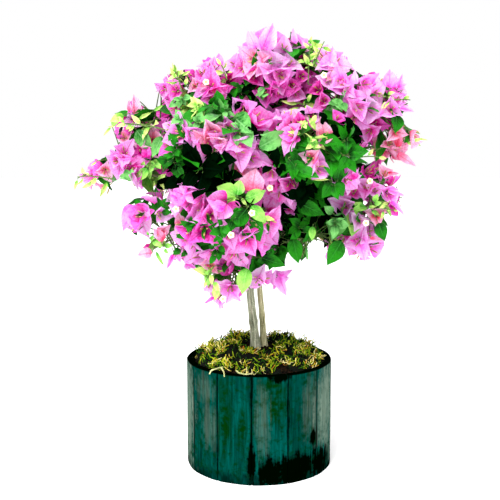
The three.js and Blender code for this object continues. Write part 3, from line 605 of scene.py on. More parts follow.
def strand_tree(finish):
    """Grows curly strands from the ground, tinted by the clump that they stand in."""
    tree, given = growing_tree("moss_strands", STRAND_SIZES)
    place = add_node(tree, "GeometryNodeInputPosition")
    clump = add_node(tree, "ShaderNodeMath", {0: 1.0, 1: given["Clump size"]}, operation="DIVIDE")
    spread = add_node(tree, "ShaderNodeVectorMath", {0: place, "Scale": clump}, operation="SCALE")
    patch = add_node(tree, "ShaderNodeTexNoise", {"Vector": spread, "Scale": 1.0, "Detail": 1.0})
    grown = add_node(tree, "ShaderNodeMapRange",
                     {"Value": patch, "From Min": 0.44, "From Max": 0.52,
                      "To Max": given["Strands per square metre"]})
    strewn = add_node(tree, "GeometryNodeDistributePointsOnFaces",
                      {"Mesh": given["Ground"], "Density": grown, "Seed": given["Seed"]})
    curl = add_node(tree, "GeometryNodeCurveSpiral",
                    {"Resolution": 9, "Rotations": given["Strand curl"], "Start Radius": 1.2 * MM,
                     "End Radius": given["Strand reach"], "Height": given["Strand rise"]})
    section = add_node(tree, "GeometryNodeCurvePrimitiveCircle",
                       {"Resolution": 3, "Radius": given["Strand width"]})
    strand = add_node(tree, "GeometryNodeCurveToMesh",
                      {"Curve": curl, "Profile Curve": section, "Fill Caps": True})
    size = add_node(tree, "FunctionNodeRandomValue",
                    {2: given["Smallest"], 3: given["Largest"], "Seed": given["Seed"]}, data_type="FLOAT")
    turned = add_node(tree, "FunctionNodeRandomValue",
                      {"Min": (-1.1, -1.1, 0), "Max": (1.1, 1.1, math.tau), "Seed": 3},
                      data_type="FLOAT_VECTOR")
    strands = add_node(tree, "GeometryNodeInstanceOnPoints",
                       {"Points": strewn.outputs["Points"], "Instance": strand, "Scale": size.outputs[1],
                        "Rotation": turned})
    own = add_node(tree, "FunctionNodeRandomValue", {2: -1.0, 3: -0.6, "Seed": 29}, data_type="FLOAT")
    tone = add_node(tree, "ShaderNodeMath", {0: patch, 1: 2.4, 2: own.outputs[1]}, operation="MULTIPLY_ADD")
    toned = add_node(tree, "GeometryNodeStoreNamedAttribute",
                     {"Geometry": strands, "Name": "tone", "Value": tone}, data_type="FLOAT",
                     domain="INSTANCE")
    real = add_node(tree, "GeometryNodeRealizeInstances", {"Geometry": toned})
    tangle = add_node(tree, "GeometryNodeJoinGeometry")
    tree.links.new(given["Ground"], tangle.inputs[0])
    tree.links.new(real.outputs[0], tangle.inputs[0])
    smooth = add_node(tree, "GeometryNodeSetShadeSmooth", {"Geometry": tangle})
    finish_tree(tree, smooth, finish)
    return tree


def bog_moss():
    """Bog moss, part dried: each strand one soft colour, from bottle green over olive to straw."""
    material, tree, surface = new_finish("bog_moss_part_dried", Roughness=0.85, Specular_IOR_Level=0.1)
    tone = add_node(tree, "ShaderNodeAttribute", attribute_name="tone").outputs["Fac"]
    place = add_node(tree, "ShaderNodeTexCoord").outputs["Object"]
    # Flecks 4 mm across, each a few strands
    fleck = add_node(tree, "ShaderNodeTexNoise", {"Vector": place, "Scale": 260.0, "Detail": 2.0})
    mixed = add_node(tree, "ShaderNodeMath", {0: fleck, 1: 0.3, 2: tone}, operation="MULTIPLY_ADD")
    colours = add_node(tree, "ShaderNodeValToRGB", {0: mixed})
    set_stops(colours, (0.2, "#040803"), (0.42, "#0C2203"), (0.58, "#2C6408"), (0.7, "#88AC10"),
              (0.8, "#DCD834"), (0.86, "#A8480C"), (0.92, "#F0E468"), (1.0, "#FCF0A0"))
    give_skin(tree, surface, colours.outputs[0], fleck, 0.4, 0.6 * MM)
    return material


moss_mesh = grown_mesh("moss", strand_tree(bog_moss()), STRAND_SIZES, moss_bed())
add_piece("moss", moss_mesh, list(MOSS_CLUMPS))

# Stems
# Two old stems rise side by side from the soil, flared at the foot. Their bark is thin, grey-olive
# and drawn out in long shallow ridges, with a swollen ring where a branch once stood.
GROUND = 181.3
ROOT_FLARE = 0.42
FLARE_HEIGHT = 11
STEMS = {
    "stem_left": {"foot": 6.9, "tip": 3.6, "knots": [0.12, 0.31, 0.52, 0.74], "route": [
        (-4, 0, 170), (-9.5, 0, 225), (-14, 0, 268), (-18, -4, 325), (-16, -6, 390), (-8, -8, 470),
        (6, -10, 548)]},
    "stem_right": {"foot": 4.9, "tip": 3.9, "knots": [0.2, 0.43, 0.66], "route": [
        (8, 5, 170), (5, 6, 225), (1, 7, 268), (-1, 10, 310), (8, 14, 370), (16, 14, 430)]},
}
STEM_SINK = 6  # how far the stems go down into the soil
STEM_SIDES = 26
STEM_RELIEF = 0.07  # how deep the bark's ridges are, as a share of the radius
KNOT_SWELL = 0.16
KNOT_LENGTH = 3.5


def unit(way):
    """A direction of length 1, or one for each row."""
    way = np.asarray(way, float)
    return way / np.linalg.norm(way, axis=-1, keepdims=True)


def run_along(line):
    """How far along a line each of its points lies."""
    return np.concatenate([[0], np.cumsum(np.linalg.norm(np.diff(line, axis=0), axis=1))])


def length_of(line):
    """How long a line is."""
    return np.linalg.norm(np.diff(line, axis=0), axis=1).sum()


def evenly(points, count):
    """A line through these points again, with its points the same distance apart."""
    run = run_along(points)
    at = np.linspace(0, run[-1], count)
    return np.column_stack([np.interp(at, run, points[:, axis]) for axis in range(3)])


def line_through(route, count=240):
    """A smooth line through the route's points, the same curve as the CAD model's."""
    knots = np.array(route, float)
    knots = np.vstack([2 * knots[0] - knots[1], knots, 2 * knots[-1] - knots[-2]])
    spans = np.sqrt(np.linalg.norm(np.diff(knots, axis=0), axis=1))
    pieces = []
    share = np.linspace(0, 1, 60)[:, None]
    for i in range(1, len(knots) - 2):
        before, here, after = spans[i - 1:i + 2]
        p0, p1, p2, p3 = knots[i - 1:i + 3]
        first = ((p1 - p0) / before - (p2 - p0) / (before + here) + (p2 - p1) / here) * here
        last = ((p2 - p1) / here - (p3 - p1) / (here + after) + (p3 - p2) / after) * here
        cube, square = share ** 3, share ** 2
        pieces.append((2 * cube - 3 * square + 1) * p1 + (cube - 2 * square + share) * first
                      + (3 * square - 2 * cube) * p2 + (cube - square) * last)
    return evenly(np.concatenate(pieces), count)


def limb(line, radii, sides, relief=None):
    """A closed round limb along a line: its corners, its faces and a map in millimetres."""
    along = unit(np.gradient(line, axis=0))
    side = unit(np.cross(along[0], [0.31, 0.17, 0.93]))
    spokes = []
    for way in along:
        side = unit(side - way * np.dot(side, way))
        spokes.append(side)
    spokes = np.array(spokes)
    others = np.cross(along, spokes)
    turns = np.arange(sides) * math.tau / sides
    run = run_along(line)
    radius = np.repeat(np.asarray(radii)[:, None], sides, axis=1)
    if relief:
        radius = radius * relief(turns[None, :], run[:, None])
    ring = spokes[:, None] * np.cos(turns)[:, None] + others[:, None] * np.sin(turns)[:, None]
    places = (line[:, None] + ring * radius[..., None]).reshape(-1, 3)
    girth = math.tau * np.mean(radii)
    uv = np.stack(np.meshgrid(run, turns / math.tau * girth, indexing="ij"), axis=-1).reshape(-1, 2)
    rows = len(line)
    faces = []
    for i in range(rows - 1):
        for j in range(sides):
            k = (j + 1) % sides
            faces.append([i * sides + j, i * sides + k, (i + 1) * sides + k, (i + 1) * sides + j])
    faces.append(list(reversed(range(sides))))
    faces.append([(rows - 1) * sides + j for j in range(sides)])
    return places, faces, uv


def bark_relief(depth, seed, knots=()):
    """Long shallow ridges that wander as they run up a limb, and its swollen rings."""
    random = np.random.default_rng(seed)
    waves = [(count, random.uniform(0, math.tau), random.uniform(25, 80), random.uniform(0, math.tau))
             for count in (2, 3, 5, 7, 9, 12)]

    def relief(turn, run):
        ridges = 0
        for count, phase, wander, offset in waves:
            ridges = ridges + np.sin(count * turn + phase + 1.4 * np.sin(run / wander + offset))
        swell = 1 + depth * ridges / 3
        for knot in knots:
            swell = swell + KNOT_SWELL * np.exp(-((run - knot) / KNOT_LENGTH) ** 2)
        return swell

    return relief


def bark(name, hollow, skin, ridge):
    """Thin young bark: streaks drawn out along the limb, 2 mm wide, with pale corky dots."""
    material, tree, surface = new_finish(name, Roughness=0.8)
    flat = add_node(tree, "ShaderNodeUVMap", uv_map="UVMap")
    streak_place = add_node(tree, "ShaderNodeMapping", {"Vector": flat, "Scale": (0.035, 0.55, 1)})
    streak = add_node(tree, "ShaderNodeTexNoise",
                      {"Vector": streak_place, "Scale": 1.0, "Detail": 5.0, "Roughness": 0.6})
    place = add_node(tree, "ShaderNodeTexCoord").outputs["Object"]
    # Corky dots 3 mm apart
    dots = add_node(tree, "ShaderNodeTexVoronoi", {"Vector": place, "Scale": 330.0})
    dot = add_node(tree, "ShaderNodeMapRange",
                   {"Value": dots.outputs["Distance"], "From Min": 0.12, "From Max": 0.3, "To Min": 0.16,
                    "To Max": 0.0})
    raised = add_node(tree, "ShaderNodeMath", {0: streak, 1: dot}, operation="ADD")
    colours = add_node(tree, "ShaderNodeValToRGB", {0: raised})
    set_stops(colours, (0.36, hollow), (0.5, skin), (0.66, ridge))
    give_skin(tree, surface, colours.outputs[0], raised, 0.6, 0.5 * MM)
    return material


stem_lines = {name: line_through(stem["route"]) for name, stem in STEMS.items()}
stem_barks = {
    "stem_left": bark("grey_olive_bark", "#4C523C", "#878C72", "#C4C8AC"),
    "stem_right": bark("tan_bark", "#5E5C38", "#9C9A70", "#D4D0A8"),
}
for index, (name, stem) in enumerate(STEMS.items()):
    line = stem_lines[name]
    share = np.linspace(0, 1, len(line))
    rise = np.maximum(0, line[:, 2] - GROUND)
    flare = stem["foot"] * ROOT_FLARE * np.exp(-rise / FLARE_HEIGHT)
    radii = stem["foot"] + (stem["tip"] - stem["foot"]) * share + flare
    above = line[:, 2] > GROUND - STEM_SINK
    knots = [knot * length_of(line) for knot in stem["knots"]]
    relief = bark_relief(STEM_RELIEF, 60 + index, knots)
    places, faces, uv = limb(line[above], radii[above], STEM_SIDES, relief)
    add_piece(f"bark_{name}", mesh_of(name, places, faces, stem_barks[name], uv), [name])

# Surface roots
# Three pale roots have crept out of the compost and lie over the pot's front edge, each thinner
# towards its tip. They are wood of the right stem, with paler bark.
ROOTS = [  # each one's way and its radius at the start
    ([(-48, -66, 167), (-57, -79, 169.5), (-65, -84, 168.5), (-71, -87, 167), (-73.5, -88, 162)], 1.9),
    ([(-57, -79, 169.5), (-54, -90, 168.5), (-52, -98.5, 167.2), (-51.5, -102.4, 162)], 1.6),
    ([(-34, -88, 167), (-30, -101, 167.5), (-19, -106.5, 167), (-10, -100, 167)], 1.4)]
ROOT_STEPS = 24
ROOT_SIDES = 8
ROOT_TAPER = 0.5


def add_limbs(name, limbs, finish, nodes):
    """A piece of several limbs, joined to one mesh."""
    places, faces, uvs = [], [], []
    first = 0
    for limb_places, limb_faces, limb_uv in limbs:
        places.append(limb_places)
        faces += [[corner + first for corner in face] for face in limb_faces]
        uvs.append(limb_uv)
        first += len(limb_places)
    mesh = mesh_of(name, np.concatenate(places), faces, finish, np.concatenate(uvs))
    add_piece(name, mesh, nodes)


root_limbs = []
for route, radius in ROOTS:
    radii = np.linspace(radius, ROOT_TAPER * radius, ROOT_STEPS)
    root_limbs.append(limb(line_through(route, ROOT_STEPS), radii, ROOT_SIDES))
root_bark = bark("pale_root_bark", "#5C6030", "#B0B474", "#E8E4B0")
add_limbs("surface_roots", root_limbs, root_bark, ["stem_right"])

# Boughs
# Eighteen boughs leave the stems one above another and arch outwards, each a single tapering limb
# that goes on into the mass of foliage that it carries. Their bark is younger and greener.
MASS_KEYS = ("name", "centre", "radii", "bloom", "stem", "fork", "tips")
MASSES = [dict(zip(MASS_KEYS, row)) for row in (
    ("crown_top", (28, -12, 598), (88, 74, 68), 1.0, "stem_left", None,
     [(18, -10, 669), (94, -14, 646), (-24, -14, 658)]),
    ("crown_top_left", (-84, -22, 560), (78, 74, 66), 0.9, "stem_left", 440,
     [(-137, -12, 612), (-82, -20, 624)]),
    ("crown_top_right", (116, -24, 562), (78, 74, 72), 0.9, "stem_right", 380, [(138, -20, 630)]),
    ("right_upper", (178, 0, 536), (74, 76, 70), 0.9, "stem_right", 404,
     [(255, 0, 501), (210, 0, 606), (230, -4, 568)]),
    ("left_upper", (-146, -8, 530), (76, 74, 70), 0.6, "stem_left", 412,
     [(-194, -8, 560), (-226, -10, 520)]),
    ("left_side", (-192, -12, 464), (78, 74, 64), 0.5, "stem_left", 366,
     [(-279, -10, 436), (-262, -12, 474), (-206, -14, 404)]),
    ("front_upper_left", (-62, -118, 494), (84, 70, 72), 0.45, "stem_left", 388, []),
    ("front_upper_right", (64, -118, 482), (84, 70, 72), 0.3, "stem_right", 366, []),
    ("front_low", (-46, -134, 402), (84, 68, 66), 0.9, "stem_left", 342, []),
    ("front_foot", (-40, -96, 326), (74, 64, 64), 0.7, "stem_left", 300, [(-54, -110, 264), (6, -96, 272)]),
    ("left_low", (-132, -54, 374), (80, 74, 76), 0.7, "stem_left", 318, [(-179, -40, 328)]),
    ("right_low", (158, -34, 400), (76, 76, 82), 0.75, "stem_right", 330,
     [(229, -20, 450), (218, -24, 412), (190, -30, 352)]),
    ("low_right", (72, -62, 372), (72, 70, 70), 0.1, "stem_right", 306, [(46, -70, 300), (104, -60, 312)]),
    ("back_top", (12, 90, 558), (92, 78, 74), 0.75, "stem_right", 420, []),
    ("back_left", (-132, 90, 478), (84, 80, 82), 0.55, "stem_left", 402, []),
    ("back_right", (128, 96, 478), (84, 80, 82), 0.55, "stem_right", 392, []),
    ("back_middle", (-2, 148, 466), (84, 68, 76), 0.55, "stem_right", 352, []),
    ("back_low_left", (-72, 92, 370), (82, 78, 74), 0.55, "stem_left", 330, []),
    ("back_low_right", (82, 96, 370), (82, 78, 74), 0.55, "stem_right", 318, []))]
BENDS = {"crown_top_right": (104, -34, 382)}  # this bough runs out low before it turns up
HEART = np.array([0, 0, 440])
BOUGH_FOOT = 3.6
MASS_STEM_TIP = 1.5
BOUGH_ENTRY = 0.5
BOUGH_SIDES = 12
BOUGH_RELIEF = 0.06
ARCH = 0.16
COLLAR = 0.35  # how much a bough widens where it leaves its stem
COLLAR_LENGTH = 7
RUN_ON = 14  # how far a mass's own stem runs on the way its bough did
STEM_END = 0.15  # and how far past the mass's middle it ends, as a share of the mass's radius

for mass in MASSES:
    mass["centre"] = np.array(mass["centre"], float)
    mass["radii"] = np.array(mass["radii"], float)
    mass["mean"] = mass["radii"].mean()
    mass["outward"] = unit(mass["centre"] - HEART)


def bow(start, bend, end, count=40):
    """A line that leaves start towards bend and comes to end from it."""
    start, bend, end = np.array(start, float), np.array(bend, float), np.array(end, float)
    share = np.linspace(0, 1, 4 * count)[:, None]
    line = (1 - share) ** 2 * start + 2 * share * (1 - share) * bend + share ** 2 * end
    return evenly(line, count)


def bough_line(mass):
    """A bough's line: it leaves its stem at the fork, arches outwards and ends inside its mass."""
    stem = stem_lines[mass["stem"]]
    fork = stem[np.searchsorted(stem[:, 2], mass["fork"])]
    run = mass["centre"] - fork
    end = mass["centre"] - unit(run) * BOUGH_ENTRY * mass["radii"].min()
    bend = BENDS.get(mass["name"], (fork + end) / 2 + [0, 0, ARCH * np.linalg.norm(run)])
    return bow(fork, bend, end)


def mass_stem_line(mass, carrier):
    """The line that a mass's shoots spring from: on from its bough's tip, into its middle."""
    way = unit(carrier[-1] - carrier[-2])
    top = mass["centre"] + mass["outward"] * STEM_END * mass["mean"]
    return bow(carrier[-1], carrier[-1] + RUN_ON * way, top, 20)


bough_limbs = []
for index, mass in enumerate(MASSES):
    mass["carrier"] = bough_line(mass) if mass["fork"] else stem_lines[mass["stem"]]
    mass["stem_line"] = mass_stem_line(mass, mass["carrier"])
    if mass["fork"]:
        line = evenly(np.concatenate([mass["carrier"], mass["stem_line"][1:]]), 56)
        foot = BOUGH_FOOT
    else:
        line = evenly(np.concatenate([mass["carrier"][-6:], mass["stem_line"][1:]]), 30)
        foot = STEMS[mass["stem"]]["tip"]
    run = np.linspace(0, length_of(line), len(line))
    radii = foot + (MASS_STEM_TIP - foot) * run / run[-1]
    if mass["fork"]:
        radii = radii + foot * COLLAR * np.exp(-run / COLLAR_LENGTH)
    bough_limbs.append(limb(line, radii, BOUGH_SIDES, bark_relief(BOUGH_RELIEF, 90 + index)))
bough_bark = bark("green_olive_bark", "#3F4A26", "#6B7A48", "#9CA573")
bough_nodes = [f"bough_{mass['name']}" for mass in MASSES if mass["fork"]]
add_limbs("boughs", bough_limbs, bough_bark, bough_nodes)

# Twigs
# Each mass is shoots that leave its stem in a spiral, as in the CAD model, and finer twigs that
# leave the shoots the same way. They stop where the mass's own space ends, and open where sky shows.
# Short twigs with leaves darkened as painted shade stand along the boughs, and the photographed
# side has sprays of its own.
SHOOTS = 9
SHORTEST_SHOOT = 12
HEAD_ROOM = 20  # kept free for a head of bracts past a twig's end, or for its leaves
LEAF_ROOM = 28
TWIG_SPACING = 12
TWIG_LENGTH = (34, 62)
SHORTEST_TWIG = 6
GOLDEN = math.pi * (3 - math.sqrt(5))
SHOOT_RADII = (1.5, 1.0)
TWIG_RADII = (1.0, 0.65)
STALK_RADII = (0.55, 0.45)
SHOOT_SIDES, TWIG_SIDES, STALK_SIDES = 5, 4, 3
SHOOT_SAG = 0.08
TWIG_SAG = 0.06
SHOOT_BARE = 0.3  # the share of its length from its foot that has no leaves
TWIG_BARE = 0.25
TWIG_POINTS = 7  # along a twig's line
CARRIER_POINTS = 9  # and along a bare twig's or a whip's on the photographed side
CARRIER_RISE = 0.1  # how far those arch up, as a share of their length
TWIGS_START = 0.2  # where a shoot's twigs begin, and over how much of it they stand
TWIGS_SPAN = 0.72
CUT_SHARE = 0.85  # what is left of a shoot each time that it is cut back from the sky
LEAF_SPACING = 12
LEAF_LENGTH = 43
LEAF_AHEAD = 0.5  # how far a leaf leans along its twig
DROOP = 0.5  # and down
BLADE_ASIDE = 0.28  # where a blade is tested for sky at its sides, as a share of its length
PETIOLE = 7
BRACT_LENGTH = 30
HEAD_MIDDLE = 0.45  # a head's middle and top, as shares of a bract's length
HEAD_TOP = 0.8
HEAD_SPACING = 21
SIDE_HEADS = 4  # the heads round the one at a twig's end
SIDE_HEAD_SIZE = 0.92
SIDE_HEAD_STEP = 0.06  # between their stalks, as a share of the twig
SIDE_STALK_START = 0.93  # where along the twig the first of them starts
SIDE_HEAD_OUT = 9  # how far they stand aside and ahead of the twig
SIDE_HEAD_AHEAD = 3
SIDE_HEAD_REACH = 24
END_LEAVES = 5
YOUNG_SHARE = 0.16  # of the leafy twigs, how many end in young leaves
# Further in, grown leaves are dark green, partly as older leaves and partly as painted shade
OUTER_SHARE = 0.9  # fresher leaves stand only past this share of the way to their mass's edge
# The deep magenta tint that those heads take is painted shade
DEEP_SHARE = 0.78  # heads nearer to the middle of their mass than this are the deep tint
# Leaves there are near-black: painted shade for the crown's depth
SHADE_SHARES = (0.66, 0.6)  # nearer than this to a mass's and the crown's middle, leaves are in shade
EDGE_SLACK = 1.08  # leaves and heads may stand this far out of their mass
INNER_SPACING = 13  # between the short leafy twigs of the boughs and of the stems in the crown
INNER_LENGTH = (28, 58)
INNER_LEAVES = 6
INNER_SHARE = 0.56  # they keep within this share of the way from the crown's middle to its edge
INNER_START = 0.3  # the share of a bough's length where they begin
INNER_STEMS = {"stem_left": 0.42, "stem_right": 0.6}  # and of a stem's
CROWN_RADII = np.array([260, 200, 215])

# The photographed side: the camera's place, and the frame of 500 steps across and down in which
# places on that side are given
EYE = np.array([-14.2, -1450, 548])
LENS = 69
SENSOR = 36
TILT_DOWN = math.radians(8.44)
FRAME = 500
STEP = 1.46  # the width of one step at the crown, mm
RIGHT = np.array([1, 0, 0])
UP = np.array([0, math.sin(TILT_DOWN), math.cos(TILT_DOWN)])
AHEAD = np.array([0, math.cos(TILT_DOWN), -math.sin(TILT_DOWN)])
NEAR, FAR = 1150, 1750  # the crown lies between these distances from the camera
FRONT_SHARE = 0.92  # where the foremost sprays sit in their mass: 0 in its middle, 1 at its edge
BACK_START = 40  # past this depth the photographed side's sprays have no say
SPRAY_REACH = 1.5  # how far past its own reach a spray still gives its tint
HEAD_DEPTH = 14  # how deep in the crown a spray's heads and leaves have their foot
LEAF_DEPTH = 8
SIDE_HEAD_DEPTH = 3  # how much deeper a spray's side heads stand, and where their stalks start
SIDE_STALK_DEPTH = 6
USUAL_REACH = 14  # the reach of a spray whose heads have full size
REACH_EACH = 10.5  # a spray of this reach has one head, and of twice the reach four
FRESH_LEAF = (1.7, 30)  # a leaf's length as a share of its spray's reach, and at most, mm
GROWN_LEAF = (1.35, 46)
SHORTEST_LEAF = 13

# The crown's outline as it is seen from there, and the round gaps with sky in them
OUTLINE = np.array([
    (272, 24), (274, 43), (282, 36), (293, 28), (300, 35), (310, 34), (324, 38), (328, 48), (344, 54),
    (352, 66), (355, 70), (362, 76), (379, 73), (384, 82), (390, 69), (394, 78), (403, 74), (404, 88),
    (410, 94), (408, 104), (416, 111), (398, 114), (392, 124), (383, 131), (392, 132), (393, 120),
    (403, 120), (406, 130), (428, 137), (428, 142), (412, 148), (406, 152), (419, 166), (408, 168),
    (396, 158), (384, 164), (399, 173), (390, 180), (397, 182), (398, 192), (407, 197), (398, 204),
    (406, 214), (392, 212), (385, 216), (388, 230), (385, 241), (384, 252), (372, 254), (366, 262),
    (350, 258), (348, 250), (338, 260), (327, 265), (327, 238), (306, 239), (308, 261), (298, 262),
    (288, 244), (286, 262), (280, 266), (293, 269), (289, 297), (272, 284), (250, 290), (240, 292),
    (242, 303), (222, 311), (203, 304), (206, 294), (197, 287), (206, 279), (198, 271), (186, 268),
    (166, 269), (164, 250), (154, 246), (153, 258), (136, 258), (136, 250), (152, 248), (148, 238),
    (121, 232), (125, 207), (138, 204), (139, 196), (148, 187), (138, 181), (139, 190), (128, 180),
    (112, 181), (101, 198), (98, 184), (94, 191), (80, 190), (74, 192), (70, 180), (82, 166),
    (92, 160), (108, 164), (108, 154), (114, 142), (119, 136), (118, 129), (103, 137), (103, 126),
    (112, 114), (128, 112), (129, 98), (134, 94), (140, 113), (152, 111), (164, 104), (160, 92),
    (152, 81), (166, 80), (168, 66), (174, 60), (180, 70), (190, 70), (187, 88), (191, 84), (190, 78),
    (200, 72), (202, 60), (218, 54), (232, 58), (238, 50), (240, 43), (250, 42), (247, 31), (262, 30)])
SKY_GAPS = np.array([
    (363, 161, 5), (370, 161, 5), (362, 155, 2.5), (369, 154, 2.5), (386, 136, 4), (382, 141, 2.5),
    (319, 197, 3.5), (320, 204, 3), (323, 221, 4.5), (318, 221, 2.5), (324, 228, 2.5), (330, 131, 2.5),
    (336, 132, 2.5), (350, 147, 2.5), (365, 147, 2.5), (352, 202, 2.5), (390, 162, 4), (338, 236, 2.5),
    (147, 203, 3), (147, 212, 3), (151, 222, 4), (152, 229, 2.5), (164, 197, 4.5), (163, 204, 3),
    (184, 84, 3), (184, 92, 2.5), (148, 121, 2.5), (158, 117, 4), (160, 125, 2.5), (169, 120, 2.5),
    (143, 246, 4), (169, 256, 3), (154, 173, 2.5), (156, 153, 2), (207, 127, 2.5), (175, 139, 2),
    (214, 273, 2.5), (229, 272, 3), (168, 262, 4), (148, 182, 3)])

# Sprays on that side, by their tint or their leaves' kind: across, down, and how far each reaches
SPRAYS_SEEN = {
    # Pale lilac heads: partly the bracts' own colour, partly painted light where the crown is lit
    "pale": [(262, 40, 14), (252, 54, 11), (284, 46, 9), (298, 40, 9), (268, 62, 17), (290, 64, 11),
        (334, 60, 15), (212, 64, 13), (230, 63, 8), (244, 48, 8), (326, 79, 9), (342, 80, 11),
        (366, 82, 11), (391, 81, 9), (352, 96, 11), (380, 92, 9), (400, 98, 8), (392, 109, 11),
        (372, 112, 12), (130, 120, 6), (116, 160, 9), (160, 87, 6), (167, 125, 6), (176, 206, 9),
        (254, 159, 12), (222, 250, 8), (196, 254, 12), (176, 256, 8), (188, 262, 8), (207, 287, 8),
        (230, 290, 10), (220, 301, 7), (278, 280, 11), (349, 181, 11), (390, 192, 11), (376, 190, 8),
        (358, 222, 9), (359, 243, 13)],
    "mid": [(312, 113, 9), (203, 72, 9), (240, 67, 12), (281, 75, 10), (296, 94, 10), (322, 102, 10),
        (346, 88, 11), (358, 108, 12), (356, 120, 11), (212, 85, 13), (174, 90, 11), (173, 109, 9),
        (190, 134, 9), (229, 127, 9), (205, 142, 11), (222, 141, 11), (124, 153, 13), (130, 166, 10),
        (257, 118, 14), (283, 112, 14), (238, 150, 14), (256, 178, 10), (268, 172, 12), (196, 199, 17),
        (209, 215, 12), (276, 192, 17), (289, 206, 10), (272, 220, 13), (186, 241, 11), (228, 237, 11),
        (249, 240, 13), (212, 256, 9), (245, 258, 10), (370, 132, 10), (352, 192, 7), (367, 186, 10)],
    # Deep magenta heads where the crown lies in shadow: painted shade
    "deep": [(253, 76, 10), (276, 91, 13), (292, 86, 9), (303, 77, 7), (317, 89, 10), (338, 116, 9),
        (209, 98, 8), (226, 88, 8), (143, 151, 7), (136, 172, 7), (166, 147, 7), (246, 110, 9),
        (256, 221, 11), (203, 231, 12), (300, 120, 6)],
    "salmon": [(196, 84, 8), (300, 116, 8), (326, 134, 11), (312, 158, 9), (212, 131, 13), (242, 171, 10),
        (124, 134, 6), (102, 170, 9), (178, 226, 8), (159, 232, 7), (208, 266, 9), (386, 172, 7),
        (397, 134, 6), (389, 146, 5), (377, 216, 6), (334, 70, 7)],
    "young": [(314, 46, 6), (309, 62, 6), (225, 71, 6), (177, 74, 5), (303, 104, 6), (308, 124, 6),
        (312, 142, 6), (262, 216, 5), (198, 106, 8), (156, 182, 5), (388, 96, 6), (213, 276, 8),
        (206, 270, 6), (386, 209, 5)],
    "bright": [(146, 169, 8), (240, 276, 5), (356, 206, 6), (372, 206, 7), (151, 237, 4), (160, 245, 4),
        (152, 163, 6), (210, 274, 6)],
    "mid_green": [(226, 112, 8), (182, 119, 8), (262, 93, 7), (268, 140, 8), (240, 130, 8), (336, 222, 9),
        (180, 99, 7), (195, 121, 8), (338, 102, 7), (128, 174, 5)],
    "dark": [(216, 106, 11), (242, 90, 8), (296, 165, 14), (345, 156, 13), (307, 206, 13), (172, 162, 12),
        (232, 216, 8), (190, 222, 8), (278, 246, 12), (332, 184, 12), (300, 228, 9), (346, 141, 11),
        (185, 249, 5), (270, 257, 8), (222, 228, 8), (220, 251, 4), (176, 150, 9)],
    # Near-black leaves where only the crown's dark depth shows: painted shade
    "shade": [(236, 103, 10), (200, 168, 20), (222, 176, 11), (182, 178, 12), (303, 188, 13), (330, 124, 9),
        (352, 132, 9), (250, 132, 8), (278, 168, 9), (214, 152, 9), (305, 212, 8), (245, 206, 7),
        (300, 194, 8)],
}
